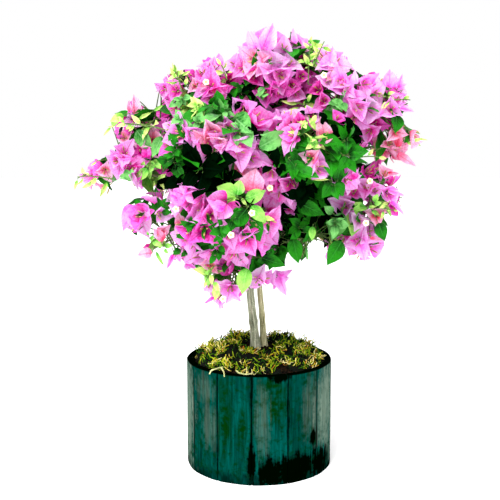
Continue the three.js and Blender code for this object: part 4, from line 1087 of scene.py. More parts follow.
# Single blades there: the foot and the tip, across and down, and how broad it shows, 1 being usual
BLADES_SEEN = {
    # Pale lilac lone bracts: partly own colour, partly painted light where the crown is lit
    "pale": [(262, 50, 272, 24, 0.7), (256, 48, 248, 31, 0.7), (296, 44, 293, 28, 0.4),
        (389, 88, 390, 69, 0.8), (398, 88, 402, 74, 0.5), (357, 84, 354, 70, 0.5), (219, 66, 219, 53, 0.7),
        (400, 108, 415, 111, 0.4), (278, 278, 293, 269, 0.45), (279, 276, 287, 296, 0.55),
        (388, 190, 406, 196, 0.3), (390, 202, 405, 214, 0.25), (360, 244, 365, 261, 0.75),
        (136, 204, 147, 238, 0.8), (133, 205, 123, 231, 0.6), (130, 172, 139, 189, 0.35),
        (186, 264, 198, 271, 0.3), (174, 254, 167, 269, 0.35), (214, 297, 204, 304, 0.35),
        (220, 301, 220, 311, 0.3), (232, 292, 241, 302, 0.5), (160, 89, 156, 92, 0.4)],
    "mid": [(202, 197, 181, 187, 0.7), (262, 178, 250, 165, 0.6), (372, 84, 379, 73, 0.6),
        (352, 180, 352, 163, 0.7), (227, 203, 208, 199, 1.1), (227, 204, 216, 218, 1.2),
        (228, 203, 236, 219, 1.1)],
    # Deep magenta lone bracts in shadow: painted shade
    "deep": [(195, 190, 195, 180, 0.6), (146, 158, 147, 143, 0.7)],
    "salmon": [(134, 114, 134, 94, 0.55), (130, 112, 129, 100, 0.4), (397, 147, 394, 122, 0.35),
        (399, 147, 402, 121, 0.3), (397, 154, 418, 166, 0.4), (152, 253, 136, 254, 0.7),
        (388, 172, 399, 173, 0.45), (370, 238, 384, 240, 0.3), (164, 240, 153, 228, 0.6),
        (252, 192, 254, 170, 1.2)],
    "young": [(78, 178, 74, 191, 0.6), (95, 181, 81, 189, 0.6), (108, 180, 100, 197, 0.6),
        (84, 176, 82, 167, 0.9), (97, 161, 91, 166, 0.5), (112, 126, 103, 136, 0.45),
        (126, 114, 110, 121, 1.1), (137, 120, 151, 112, 0.5), (180, 76, 190, 71, 0.5),
        (185, 86, 187, 78, 1.0), (176, 79, 170, 67, 0.5), (300, 104, 281, 101, 0.5),
        (300, 107, 289, 110, 0.5), (302, 105, 325, 107, 0.45), (306, 118, 302, 132, 0.7),
        (309, 116, 316, 130, 0.7), (303, 134, 289, 132, 0.6), (303, 176, 327, 180, 0.4),
        (414, 139, 428, 140, 0.35), (413, 141, 407, 131, 0.5), (238, 196, 226, 203, 1.1),
        (237, 196, 236, 207, 1.0), (241, 197, 246, 205, 0.8), (314, 50, 312, 40, 0.7),
        (415, 143, 421, 146, 0.6)],
    "bright": [(239, 197, 219, 188, 1.3), (237, 198, 240, 181, 1.0), (242, 200, 264, 193, 0.9),
        (249, 203, 264, 221, 0.8), (306, 134, 319, 150, 0.6), (314, 57, 319, 70, 0.75),
        (248, 264, 242, 292, 0.8), (155, 249, 163, 266, 0.3), (152, 112, 163, 105, 0.4),
        (118, 114, 112, 127, 0.8), (158, 169, 143, 160, 0.7), (148, 166, 139, 180, 0.9),
        (313, 224, 312, 240, 0.7), (404, 141, 401, 129, 0.35)],
    "mid_green": [(134, 127, 151, 150, 0.8), (163, 133, 153, 155, 0.7), (344, 208, 333, 240, 0.75),
        (306, 244, 308, 261, 0.2), (254, 150, 287, 133, 0.7), (124, 168, 131, 179, 0.8),
        (335, 97, 342, 110, 0.9)],
    "dark": [(344, 237, 328, 264, 0.85), (292, 234, 298, 262, 0.8), (151, 190, 141, 225, 0.27),
        (155, 192, 162, 226, 0.58), (160, 213, 171, 212, 0.9), (377, 220, 385, 240, 0.9),
        (258, 257, 284, 265, 0.7), (292, 200, 322, 214, 0.7), (288, 158, 304, 178, 0.9),
        (249, 206, 232, 226, 1.0)],
}
# Thin young whips that end past the rest: the foot and the tip
WHIPS_SEEN = [(112, 179, 78, 177), (148, 127, 118, 124), (182, 92, 176, 72), (308, 84, 310, 44),
              (372, 152, 412, 140), (214, 266, 207, 279), (394, 100, 410, 100), (227, 80, 222, 66),
              (314, 66, 324, 42), (165, 130, 130, 125), (350, 210, 392, 210), (357, 158, 376, 157)]
STARS_SEEN = [(270, 188), (370, 181), (176, 209), (231, 235), (223, 299), (206, 82), (366, 223),
              (252, 213), (324, 75)]


def point_at(line, share):
    """The point at this share of a line's length."""
    place = np.clip(share, 0, 1) * (len(line) - 1)
    whole = min(int(place), len(line) - 2)
    return line[whole] + (line[whole + 1] - line[whole]) * (place - whole)


def square_to(way):
    """Two directions that are square to this one and to each other."""
    side = unit(np.cross(way, [0.2, 0.3, 0.9]))
    return side, np.cross(way, side)


def spiral(side, other, turn, count):
    """Directions round the plane of side and other, each a golden angle on from the one before."""
    for _ in range(count):
        yield side * math.cos(turn) + other * math.sin(turn)
        turn += GOLDEN


def seeded(seed):
    """The CAD model's own run of numbers from 0 to 1."""
    state = seed

    def draw():
        nonlocal state
        state = state * 48271 % 2147483647
        return state / 2147483647

    return draw


def shoots_of(mass, index):
    """The CAD model's rule: each shoot's direction, where it starts and whether it flowers."""
    draw = seeded(1000 + 37 * index)
    side = unit(np.cross([0.31, 0.17, 0.93], mass["outward"]))
    other = np.cross(mass["outward"], side)
    plans = []
    for i in range(SHOOTS):
        lift = 0.97 - 1.42 * (i + 0.3 * draw()) / SHOOTS
        turn = GOLDEN * i + 0.6 * draw()
        flat = math.sqrt(1 - lift * lift)
        way = mass["outward"] * lift + flat * (side * math.cos(turn) + other * math.sin(turn))
        start = 0.3 + 0.67 * ((i * 5) % SHOOTS + draw()) / SHOOTS
        plans.append((way, min(0.97, start), draw() < mass["bloom"]))
    return plans


def room_along(mass, place, way):
    """How far a twig may run from a place before it meets the mass's edge or a neighbour's space."""
    a = way / mass["radii"]
    b = (place - mass["centre"]) / mass["radii"]
    dot = a @ b
    inside = dot * dot + (a @ a) * (1 - b @ b)
    room = 0 if inside <= 0 else (math.sqrt(inside) - dot) / (a @ a)
    for other in MASSES:
        if other is mass:
            continue
        across = other["centre"] - mass["centre"]
        span = np.linalg.norm(across)
        limit = span / 2 + (mass["mean"] ** 2 - other["mean"] ** 2) / (2 * span)
        speed = way @ across / span
        if speed > 0:
            room = min(room, (limit - (place - mass["centre"]) @ across / span) / speed)
    return max(0, room)


def edge_share(mass, place):
    """How near a place is to its mass's edge: 0 in the middle, 1 on the edge."""
    return np.linalg.norm((place - mass["centre"]) / mass["radii"])


def crown_share(place):
    """How near a place is to the whole crown's edge: 0 in the middle, 1 on the edge."""
    return np.linalg.norm((place - HEART) / CROWN_RADII)


def as_seen(place):
    """Where a place shows in the photograph's frame, across and down."""
    away = place - EYE
    scale = FRAME * LENS / SENSOR / (away @ AHEAD)
    return FRAME / 2 + scale * (away @ RIGHT), FRAME / 2 - scale * (away @ UP)


def in_sky(place):
    """True where the photograph shows sky: past the crown's outline or in one of its gaps."""
    u, v = as_seen(place)
    if np.any(np.hypot(SKY_GAPS[:, 0] - u, SKY_GAPS[:, 1] - v) < SKY_GAPS[:, 2]):
        return True
    (u0, v0), (u1, v1) = OUTLINE.T, np.roll(OUTLINE, -1, axis=0).T
    crossed = (v0 > v) != (v1 > v)
    edge_u = u0 + (v - v0) * (u1 - u0) / np.where(v1 == v0, 1, v1 - v0)
    return np.count_nonzero(crossed & (edge_u > u)) % 2 == 0


def on_front(u, v):
    """The foremost place in the crown that shows here, and its mass: the first mass that the line of
    sight meets, or else the one that it passes nearest."""
    across, down = (u / FRAME - 0.5) * SENSOR / LENS, (v / FRAME - 0.5) * SENSOR / LENS
    way = unit(RIGHT * across - UP * down + AHEAD)
    line = EYE + way * np.linspace(NEAR, FAR, 301)[:, None]
    shares = np.array([np.linalg.norm((line - mass["centre"]) / mass["radii"], axis=1) for mass in MASSES])
    met = np.flatnonzero(shares.min(axis=0) < FRONT_SHARE)
    at = met[0] if len(met) else np.argmin(shares.min(axis=0))
    return line[at], MASSES[np.argmin(shares[:, at])]


spray_kinds = [kind for kind, sprays in SPRAYS_SEEN.items() for _ in sprays]
spray_spots = np.array([spray for sprays in SPRAYS_SEEN.values() for spray in sprays])


def patch_at(place):
    """What grows here on the photographed side: a tint, a leaf's kind, or None for no rule."""
    if place[1] > BACK_START:
        return None
    u, v = as_seen(place)
    shares = np.hypot(spray_spots[:, 0] - u, spray_spots[:, 1] - v) / spray_spots[:, 2]
    nearest = np.argmin(shares)
    return spray_kinds[nearest] if shares[nearest] < SPRAY_REACH else None


TINTS = ["pale", "mid", "deep", "salmon"]
TINT_SHARES = {None: (0.32, 0.42, 0.14, 0.12), "pale": (0.8, 0.14, 0.01, 0.05),
               "mid": (0.12, 0.74, 0.1, 0.04), "deep": (0.04, 0.3, 0.62, 0.04),
               "salmon": (0.15, 0.2, 0.05, 0.6)}
FRESH_SIZES = (1.2, 0.6, 0.95, 0.45, 0.75)  # a fresh spray's leaves, the smallest just unfolding
GROWN_SIZES = (1,) * 7  # and a grown spray's, which are all alike
BLADE_SHARE = 0.88  # a lone leaf's blade, of its whole length with the stalk
WHIP_SPACING = 13
WHIP_LEAF = (12, 19)
WHIP_BREADTH = 0.8
twig_limbs = []
leaves = {"shade": [], "dark": [], "mid_green": [], "bright": [], "young": []}
heads = {tint: [] for tint in TINTS}
lone_bracts = {tint: [] for tint in TINTS}
head_places = []


def add_stalk(start, end):
    """A thin stalk between two places."""
    twig_limbs.append((np.array([start, end]), STALK_RADII, STALK_SIDES))


def set_leaf(random, root, way, along, face, length, kind, breadth=1):
    """A leaf on its short stalk, which leaves the twig along way."""
    blade_root = root + unit(way) * PETIOLE * length / LEAF_LENGTH
    leaves[kind].append((blade_root, along, face, length, random.integers(4), random.uniform(), breadth))
    add_stalk(root, blade_root)


def leaf_kind(random, mass, place):
    """Near-black leaves in the crown's depth, which is painted shade, dark ones over them, darker
    partly as older leaves and partly as painted shade, and fresher ones outside.
    """
    share = edge_share(mass, place) + random.normal(0, 0.08)
    if share < SHADE_SHARES[0] and crown_share(place) < SHADE_SHARES[1]:
        return "shade"
    patch = patch_at(place)
    if patch in leaves and random.uniform() < 0.75:
        return patch
    if share < OUTER_SHARE or random.uniform() < 0.4:
        return "dark"
    return "mid_green" if random.uniform() < 0.75 else "bright"


def add_leaf(random, mass, root, way, outward, size, kind):
    """A leaf that bends over and turns its face outwards, where the photograph leaves room for it."""
    along = unit(unit(way) + 0.35 * outward - np.array([0, 0, DROOP]) + random.normal(0, 0.25, 3))
    face = unit(outward + np.array([0, -0.15, 0.6]) + random.normal(0, 0.35, 3))
    tip = root + along * (LEAF_LENGTH + PETIOLE) * size
    if edge_share(mass, tip) > EDGE_SLACK or not fitted(root, along, face, LEAF_LENGTH * size, (1,)):
        return
    flowering = patch_at(tip) in TINTS or patch_at((root + tip) / 2) in TINTS
    if flowering and edge_share(mass, tip) > 0.7 and random.uniform() < 0.75:
        return
    set_leaf(random, root, way, along, face, LEAF_LENGTH * size, kind)


def fitted(root, along, face, length, shares=(1, 0.85, 0.7)):
    """A blade's length, cut down where it would stand in the photograph's sky, or else 0."""
    aside = unit(np.cross(face, along)) * BLADE_ASIDE * length
    for share in shares:
        tip = along * length * share
        if not any(in_sky(root + step) for step in (tip, tip / 2 + aside, tip / 2 - aside)):
            return length * share
    return 0


def add_head(random, mass, foot, way, tint, size=1.0):
    """A head of three bracts, if there is room for it between its neighbours."""
    middle = foot + way * HEAD_MIDDLE * BRACT_LENGTH
    if in_sky(middle) or in_sky(foot + way * HEAD_TOP * BRACT_LENGTH):
        return False
    if patch_at(middle) in leaves:
        return False
    if any(np.linalg.norm(middle - other) < HEAD_SPACING for other in head_places):
        return False
    # Heads deep in their mass take the deep magenta tint: painted shade
    if edge_share(mass, middle) < DEEP_SHARE:
        tint = "deep"
    set_head(random, foot, way, tint, size * random.uniform(0.8, 1.1))
    return True


def set_head(random, foot, way, tint, size):
    """Notes a head's place, direction, size, how wide it is open, its turn and its tone."""
    head_places.append(foot + way * HEAD_MIDDLE * BRACT_LENGTH)
    heads[tint].append((foot, way, size, random.uniform(0.55, 1.2), random.uniform(0, math.tau),
                        random.uniform()))


def drawn_tint(random, patch):
    """A head's tint, by the shares that this patch gives to each."""
    return TINTS[random.choice(4, p=TINT_SHARES[patch])]


def dress_twig(random, mass, line, first_leaf):
    """Leaves in a spiral along a twig, from a share of its length on."""
    count = max(1, round(length_of(line) * (1 - first_leaf) / LEAF_SPACING))
    turn = random.uniform(0, math.tau)
    along = unit(line[-1] - line[0])
    for i, spoke in enumerate(spiral(*square_to(along), turn, count)):
        share = first_leaf + (1 - first_leaf) * (i + 0.5) / count
        root = point_at(line, share)
        size = random.uniform(0.75, 1.12) * (1.05 - 0.3 * share)
        kind = leaf_kind(random, mass, root)
        add_leaf(random, mass, root, spoke + LEAF_AHEAD * along, unit(root - HEART), size, kind)


def end_twig(random, mass, line, blooms):
    """A twig's end: heads of bracts on short stalks, or a tuft of leaves."""
    end, way = line[-1], unit(line[-1] - line[-2])
    outward = unit(end - HEART)
    patch = patch_at(end)
    if patch is not None:
        blooms = patch in TINTS
    plane = square_to(way)
    turn = random.uniform(0, math.tau)
    if blooms:
        tint = drawn_tint(random, patch)
        add_head(random, mass, end, unit(way + 0.5 * outward), tint)
        for i, spoke in enumerate(spiral(*plane, turn, SIDE_HEADS)):
            foot = point_at(line, 1 - SIDE_HEAD_STEP * i) + spoke * SIDE_HEAD_OUT + way * SIDE_HEAD_AHEAD
            aim = unit(spoke + 0.6 * way + 0.7 * outward)
            if edge_share(mass, foot + aim * SIDE_HEAD_REACH) > EDGE_SLACK:
                continue
            if add_head(random, mass, foot, aim, tint, SIDE_HEAD_SIZE):
                add_stalk(point_at(line, SIDE_STALK_START - SIDE_HEAD_STEP * i), foot)
        return
    young = patch == "young" or (patch is None and random.uniform() < YOUNG_SHARE)
    for spoke in spiral(*plane, turn, END_LEAVES):
        kind = "young" if young else leaf_kind(random, mass, end)
        size = random.uniform(0.4, 0.65) if young else random.uniform(0.75, 1.1)
        add_leaf(random, mass, end, spoke + 0.9 * way, outward, size, kind)


def arched(random, start, way, length, sag):
    """A twig's line: it leaves along way, rises or sags a little, and ends length away."""
    end = start + way * length
    bend = (start + end) / 2 + np.array([0, 0, sag * length]) + random.normal(0, 0.05 * length, 3)
    return bow(start, bend, end, TWIG_POINTS)


def grow_shoot(random, mass, start, way, length, blooms):
    """A shoot and the finer twigs that leave it in a spiral, short of the photograph's sky."""
    while in_sky(start + way * length) and length > SHORTEST_SHOOT:
        length *= CUT_SHARE
    line = arched(random, start, way, length, SHOOT_SAG)
    twig_limbs.append((line, SHOOT_RADII, SHOOT_SIDES))
    dress_twig(random, mass, line, SHOOT_BARE)
    end_twig(random, mass, line, blooms)
    count = max(2, round(length / TWIG_SPACING))
    turn = random.uniform(0, math.tau)
    for i, spoke in enumerate(spiral(*square_to(way), turn, count)):
        root = point_at(line, TWIGS_START + TWIGS_SPAN * (i + 0.5) / count)
        outward = unit(root - HEART)
        twig_way = unit(spoke + 0.45 * way + 0.45 * outward + random.normal(0, 0.2, 3))
        room = room_along(mass, root, twig_way) - (HEAD_ROOM if blooms else LEAF_ROOM)
        reach = min(room, random.uniform(*TWIG_LENGTH))
        if reach < SHORTEST_TWIG:
            continue
        twig = arched(random, root, twig_way, reach, TWIG_SAG)
        if in_sky(twig[-1]):
            continue
        twig_limbs.append((twig, TWIG_RADII, TWIG_SIDES))
        dress_twig(random, mass, twig, TWIG_BARE)
        end_twig(random, mass, twig, blooms)


def dress_carrier(random, line, first):
    """Short twigs with near-black and dark leaves along a bough or a stem: they close the crown's
    depth. The near-black is painted shade, and the dark green partly so.
    """
    along = unit(line[-1] - line[0])
    count = round(length_of(line) * (1 - first) / INNER_SPACING)
    turn = random.uniform(0, math.tau)
    for i, spoke in enumerate(spiral(*square_to(along), turn, count)):
        root = point_at(line, first + (1 - first) * (i + 0.5) / count)
        way = unit(spoke + 0.4 * along + random.normal(0, 0.2, 3))
        twig = arched(random, root, way, random.uniform(*INNER_LENGTH), TWIG_SAG)
        if in_sky(twig[-1]) or in_sky(twig[3]) or crown_share(twig[-1]) > INNER_SHARE:
            continue
        twig_limbs.append((twig, TWIG_RADII, TWIG_SIDES))
        for j in range(INNER_LEAVES):
            foot = point_at(twig, 0.3 + 0.7 * (j + 1) / INNER_LEAVES)
            leaf_way = unit(0.5 * way + random.normal(0, 0.6, 3))
            blade_way = unit(leaf_way - np.array([0, 0, DROOP]))
            face = unit(np.array([0, 0, 0.8]) + random.normal(0, 0.5, 3))
            own_length = fitted(foot, blade_way, face, LEAF_LENGTH * random.uniform(0.7, 1.05))
            # Near-black leaves here are painted shade, dark green ones partly so
            kind = "shade" if random.uniform() < 0.6 else "dark"
            if own_length and crown_share(foot) < INNER_SHARE:
                set_leaf(random, foot, leaf_way, blade_way, face, own_length, kind)


def carry(mass, place):
    """A twig from the nearest point of a mass's own stem to a place."""
    stem = mass["stem_line"]
    root = stem[np.argmin(np.linalg.norm(stem - place, axis=1))]
    lift = CARRIER_RISE * np.linalg.norm(place - root)
    line = bow(root, (root + place) / 2 + [0, 0, lift], place, CARRIER_POINTS)
    twig_limbs.append((line, TWIG_RADII, TWIG_SIDES))


def grow_spray(random, u, v, reach, kind):
    """A spray on the photographed side: heads of bracts, or leaves, that face out of the crown."""
    place, mass = on_front(u, v)
    bulge = unit((place - mass["centre"]) / mass["radii"] ** 2)
    face = unit(bulge + 0.9 * unit(EYE - place))
    turn = random.uniform(0, math.tau)
    foot = place - face * (HEAD_DEPTH if kind in TINTS else LEAF_DEPTH)
    carry(mass, foot)
    if kind in TINTS:
        size = np.clip(reach / USUAL_REACH, 0.6, 1.05)
        count = max(1, round((reach / REACH_EACH) ** 2))
        for i, spread in enumerate(spiral(RIGHT, UP, turn, count)):
            aside = spread * random.uniform(0.4, 0.72) * reach * STEP * (i > 0)
            start = foot + aside - face * SIDE_HEAD_DEPTH * (i > 0)
            axis = unit(face + 0.55 * spread * (i > 0) + random.normal(0, 0.14, 3))
            own_kind = drawn_tint(random, kind) if i else kind
            set_head(random, start, axis, own_kind, size * random.uniform(0.9, 1.08))
            if i:
                add_stalk(foot - face * SIDE_STALK_DEPTH, start)
        return
    fresh = kind in ("young", "bright")
    share, longest = FRESH_LEAF if fresh else GROWN_LEAF
    length = np.clip(reach * STEP * share, SHORTEST_LEAF, longest)
    sizes = FRESH_SIZES if fresh else GROWN_SIZES
    for i, (spread, grown) in enumerate(zip(spiral(RIGHT, UP, turn, len(sizes)), sizes)):
        along = unit(spread + 0.35 * face - np.array([0, 0, 0.4]) + random.normal(0, 0.28, 3))
        turned = unit(face + 0.4 * spread + [0, 0, 0.25] + random.normal(0, 0.35, 3))
        start = foot + face * 1.5 * i + random.normal(0, 3, 3)
        own_length = fitted(start, along, turned, length * random.uniform(0.65, 1.12) * grown)
        if own_length:
            set_leaf(random, start, along, along, turned, own_length, kind)


def run_seen(u0, v0, u1, v1):
    """The way from one place on the photographed side to another, square to the line of sight."""
    return (RIGHT * (u1 - u0) - UP * (v1 - v0)) * STEP


def grow_blade(random, u0, v0, u1, v1, breadth, kind):
    """One leaf or bract on the photographed side, from its foot to its tip."""
    foot, mass = on_front(u0, v0)
    run = run_seen(u0, v0, u1, v1)
    face = unit(unit(EYE - foot) + random.normal(0, 0.15, 3))
    carry(mass, foot)
    if kind in TINTS:
        lone_bracts[kind].append((foot, unit(run), face, np.linalg.norm(run), random.integers(4),
                                  random.uniform(), breadth))
    else:
        set_leaf(random, foot, run, unit(run), face, np.linalg.norm(run) * BLADE_SHARE, kind, breadth)


def grow_whip(random, u0, v0, u1, v1):
    """A young whip with narrow leaves that stand away on both sides, the smallest at its tip."""
    foot, mass = on_front(u0, v0)
    run = run_seen(u0, v0, u1, v1)
    carry(mass, foot)
    length = np.linalg.norm(run)
    middle = foot + run / 2 + [0, 0, CARRIER_RISE * length]
    line = bow(foot, middle, foot + run, CARRIER_POINTS)
    twig_limbs.append((line, TWIG_RADII, TWIG_SIDES))
    face = unit(EYE - foot)
    across = np.cross(face, unit(run))
    count = max(3, round(length / WHIP_SPACING))
    for i in range(count):
        share = 0.25 + 0.75 * (i + 1) / count
        spread = across * (-1) ** i + random.normal(0, 0.3, 3)
        along = unit(unit(run) + (0.9 if i < count - 1 else 0.1) * spread - np.array([0, 0, 0.35]))
        size = random.uniform(*WHIP_LEAF) * (1.15 - 0.4 * share)
        turned = unit(face + random.normal(0, 0.5, 3))
        root = point_at(line, share)
        own_length = fitted(root, along, turned, size)
        if own_length:
            set_leaf(random, root, along, along, turned, own_length, "young", WHIP_BREADTH)


random = np.random.default_rng(200)
for kind, sprays in SPRAYS_SEEN.items():
    for spray in sprays:
        grow_spray(random, *spray, kind)
for kind, blades in BLADES_SEEN.items():
    for seen in blades:
        grow_blade(random, *seen, kind)
for whip in WHIPS_SEEN:
    grow_whip(random, *whip)
for index, mass in enumerate(MASSES):
    random = np.random.default_rng(300 + index)
    top = mass["stem_line"][-1]
    for tip in mass["tips"]:
        run = np.array(tip, float) - top
        length = np.linalg.norm(run) - HEAD_ROOM
        grow_shoot(random, mass, top, unit(run), length, random.uniform() < mass["bloom"])
    for way, start_share, blooms in shoots_of(mass, index):
        start = point_at(mass["stem_line"], start_share)
        room = room_along(mass, start, way) - (HEAD_ROOM if blooms else LEAF_ROOM)
        grow_shoot(random, mass, start, way, max(SHORTEST_SHOOT, room), blooms)
    if mass["fork"]:
        dress_carrier(random, mass["carrier"], INNER_START)
for name, first in INNER_STEMS.items():
    dress_carrier(random, stem_lines[name], first)

all_masses = [mass["name"] for mass in MASSES]
twig_parts = [limb(line, np.linspace(*radii, len(line)), sides) for line, radii, sides in twig_limbs]
twig_bark = bark("green_twig_bark", "#26380F", "#486B22", "#7E9A48")
add_limbs("twigs", twig_parts, twig_bark, all_masses)

# Leaves
# Ovate, pointed leaves, folded a little along the midrib and bent over towards the tip. Grown ones
# are dark green and satin, young ones at the twigs' ends small and lime green. Leaves deep in the
# crown are near-black, which is painted shade, and grown ones away from their mass's edge are dark
# green, partly as older leaves and partly as painted shade.
LEAF_ROWS = [(0.05, 0.4), (0.16, 0.8), (0.3, 0.98), (0.45, 1.0), (0.6, 0.86), (0.75, 0.58), (0.89, 0.24)]
LEAF_HALF_WIDTH = 0.36  # as a share of its length
LEAF_ACROSS = [-1, -0.5, 0, 0.5, 1]
LEAF_SHAPES = [  # folded along the midrib, cupped, bent over, waved at the margin, twisted
    (0.34, 0.0, 0.1, 0.02, 0.0), (0.22, 0.05, 0.24, 0.03, 0.3), (0.42, 0.0, 0.06, 0.02, -0.25),
    (0.14, 0.1, 0.34, 0.035, 0.1)]
YOUNG_WIDTH = 0.7  # young leaves are this much narrower
WAVES = 14  # how fast a blade's margin waves along its length
VEIN_SHARE = 0.5  # how far a vein's own colour covers the skin
LEAF_VEINS = 7.0
# A blade's foot colour, deeper than its skin, is painted shade
LEAF_FINISHES = {  # its foot, darkest and lightest skin, its veins, and its gloss
    # The shade kind's near-black colours are painted shade for leaves deep in the crown
    "shade": ("painted_shade_leaf_black", "#000100", "#000300", "#010C02", "#02140A", 0.0),
    "dark": ("dark_leaf_satin", "#001802", "#043404", "#1C7810", "#308E2C", 0.06),
    "mid_green": ("green_leaf_satin", "#0C3C08", "#1C681C", "#6CB65C", "#84C478", 0.2),
    "bright": ("fresh_leaf_satin", "#187010", "#3C9420", "#94D45C", "#A0DC78", 0.2),
    "young": ("lime_leaf_soft", "#308C14", "#6CB830", "#D0EC84", "#C4E48C", 0.15),
}


def blade(rows, half_width, across, fold, cup, curl, wave, twist):
    """One blade along +X of length 1: a point at its foot and tip, and rows across it."""
    places, uv = [(0, 0, 0)], [(0.5, 0)]
    for share, width in rows:
        for side in across:
            y = side * width * half_width
            rise = fold * abs(y) + cup * y * side - curl * share ** 2
            rise += wave * abs(side) ** 2 * math.sin(WAVES * share + 2 * side)
            places.append((share, y, rise + twist * y * share))
            uv.append((0.5 + side / 2, share))
    places.append((1, 0, -curl))
    uv.append((0.5, 1))
    return np.array(places), np.array(uv)


def blade_faces(rows, across):
    """The faces of a blade: a fan at its foot and tip, and quads between two rows."""
    columns = len(across)
    faces = [[0, j + 1, j + 2] for j in range(columns - 1)]
    for i in range(len(rows) - 1):
        for j in range(columns - 1):
            a = 1 + columns * i + j
            faces.append([a, a + columns, a + columns + 1, a + 1])
    last = 1 + columns * (len(rows) - 1)
    tip = last + columns
    faces += [[last + j, tip, last + j + 1] for j in range(columns - 1)]
    return faces


def blade_kind(rows, half_width, across, shapes):
    """One kind of blade: its few shapes, and the map and faces that they share."""
    made = [blade(rows, half_width, across, *shape) for shape in shapes]
    return [places for places, _ in made], made[0][1], blade_faces(rows, across)


def strewn(name, shapes, uv, faces, blades, finish):
    """Many blades as one joined mesh: each shape turned, sized and set in its place."""
    roots, alongs, ups, lengths, choices, tones, breadths = (np.array(column) for column in zip(*blades))
    x = unit(alongs)
    y = unit(np.cross(ups, x))
    z = np.cross(x, y)
    own = np.array(shapes)[choices] * lengths[:, None, None]
    own[..., 1] *= breadths[:, None]
    places = roots[:, None] + (own[..., :1] * x[:, None] + own[..., 1:2] * y[:, None]
                               + own[..., 2:] * z[:, None])
    count = len(uv)
    all_faces = []
    for i in range(len(roots)):
        all_faces += [[corner + i * count for corner in face] for face in faces]
    return mesh_of(name, places.reshape(-1, 3), all_faces, finish, np.tile(uv, (len(roots), 1)),
                   np.repeat(tones, count))


def veined(name, foot, shade, light, vein, veins, see_through, roughness, gloss, crumple):
    """A thin blade: a midrib and side veins in its own outline, deeper at its foot and in its creases,
    which is painted shade, and light that comes through it, coloured twice over."""
    material, tree, surface = new_finish(name, Roughness=roughness, Specular_IOR_Level=gloss)
    flat = add_node(tree, "ShaderNodeUVMap", uv_map="UVMap")
    parts = add_node(tree, "ShaderNodeSeparateXYZ", {0: flat}).outputs
    off_rib = add_node(tree, "ShaderNodeMath", {0: parts["X"], 1: 0.5}, operation="SUBTRACT")
    away = add_node(tree, "ShaderNodeMath", {0: off_rib}, operation="ABSOLUTE")
    rib = add_node(tree, "ShaderNodeMapRange",
                   {"Value": away, "From Min": 0.015, "From Max": 0.05, "To Min": 1.0, "To Max": 0.0})
    slant = add_node(tree, "ShaderNodeMath", {0: away, 1: -0.7, 2: parts["Y"]}, operation="MULTIPLY_ADD")
    spaced = add_node(tree, "ShaderNodeMath", {0: slant, 1: veins}, operation="MULTIPLY")
    phase = add_node(tree, "ShaderNodeMath", {0: spaced, 1: 0.5}, operation="PINGPONG")
    side_vein = add_node(tree, "ShaderNodeMapRange",
                         {"Value": phase, "From Min": 0.02, "From Max": 0.12, "To Min": 0.6, "To Max": 0.0})
    lines = add_node(tree, "ShaderNodeMath", {0: rib, 1: side_vein}, operation="MAXIMUM")
    tone = add_node(tree, "ShaderNodeAttribute", attribute_name="tone").outputs["Fac"]
    place = add_node(tree, "ShaderNodeTexCoord").outputs["Object"]
    # Creases and mottling about 6 mm apart; the colour deepens in the creases as painted shade
    mottle_and_crease_shade = add_node(tree, "ShaderNodeTexNoise",
                      {"Vector": place, "Scale": 160.0, "Detail": 4.0, "Roughness": 0.7})
    rimmed = add_node(tree, "ShaderNodeMath", {0: away, 1: 1.2, 2: tone}, operation="MULTIPLY_ADD")
    # Deeper towards the foot and in the creases' hollows: painted shade
    foot_shade_falloff = add_node(tree, "ShaderNodeMapRange", {"Value": parts["Y"], "From Max": 0.55, "To Max": 1.6})
    outer = add_node(tree, "ShaderNodeMath", {0: rimmed, 1: foot_shade_falloff}, operation="ADD")
    blend = add_node(tree, "ShaderNodeMath", {0: mottle_and_crease_shade, 1: 3.6, 2: outer}, operation="MULTIPLY_ADD")
    toned = add_node(tree, "ShaderNodeMapRange", {"Value": blend, "From Min": 1.6, "From Max": 4.8})
    skin = add_node(tree, "ShaderNodeValToRGB", {0: toned})
    set_stops(skin, (0.1, foot), (0.36, shade), (0.85, light))
    vein_mask = add_node(tree, "ShaderNodeMath", {0: lines, 1: VEIN_SHARE}, operation="MULTIPLY")
    drawn = add_node(tree, "ShaderNodeMix", {"Factor": vein_mask, "A": skin, "B": linear(vein)},
                     data_type="RGBA").outputs["Result"]
    relief = add_node(tree, "ShaderNodeMath", {0: mottle_and_crease_shade, 1: 2.0, 2: lines}, operation="MULTIPLY_ADD")
    bump = give_skin(tree, surface, drawn, relief, 0.6, crumple)
    filtered = add_node(tree, "ShaderNodeMix", {"Factor": 0.75, "A": drawn, "B": drawn},
                        data_type="RGBA", blend_type="MULTIPLY").outputs["Result"]
    glow = add_node(tree, "ShaderNodeBsdfTranslucent", {"Color": filtered, "Normal": bump})
    both = add_node(tree, "ShaderNodeMixShader", {"Fac": see_through, 1: surface, 2: glow})
    tree.links.new(both.outputs[0], tree.nodes["Material Output"].inputs["Surface"])
    return material


leaf_shapes, leaf_uv, leaf_faces = blade_kind(LEAF_ROWS, LEAF_HALF_WIDTH, LEAF_ACROSS, LEAF_SHAPES)
young_shapes = [shape * [1, YOUNG_WIDTH, 1] for shape in leaf_shapes]
for kind, grown in leaves.items():
    name, foot, shade, light, vein, gloss = LEAF_FINISHES[kind]
    finish = veined(name, foot, shade, light, vein, LEAF_VEINS, see_through=0.1, roughness=0.34,
                    gloss=gloss, crumple=0.5 * MM)
    shapes = young_shapes if kind == "young" else leaf_shapes
    mesh = strewn(f"leaves_{kind}", shapes, leaf_uv, leaf_faces, grown, finish)
    add_piece(f"leaves_{kind}", mesh, all_masses)
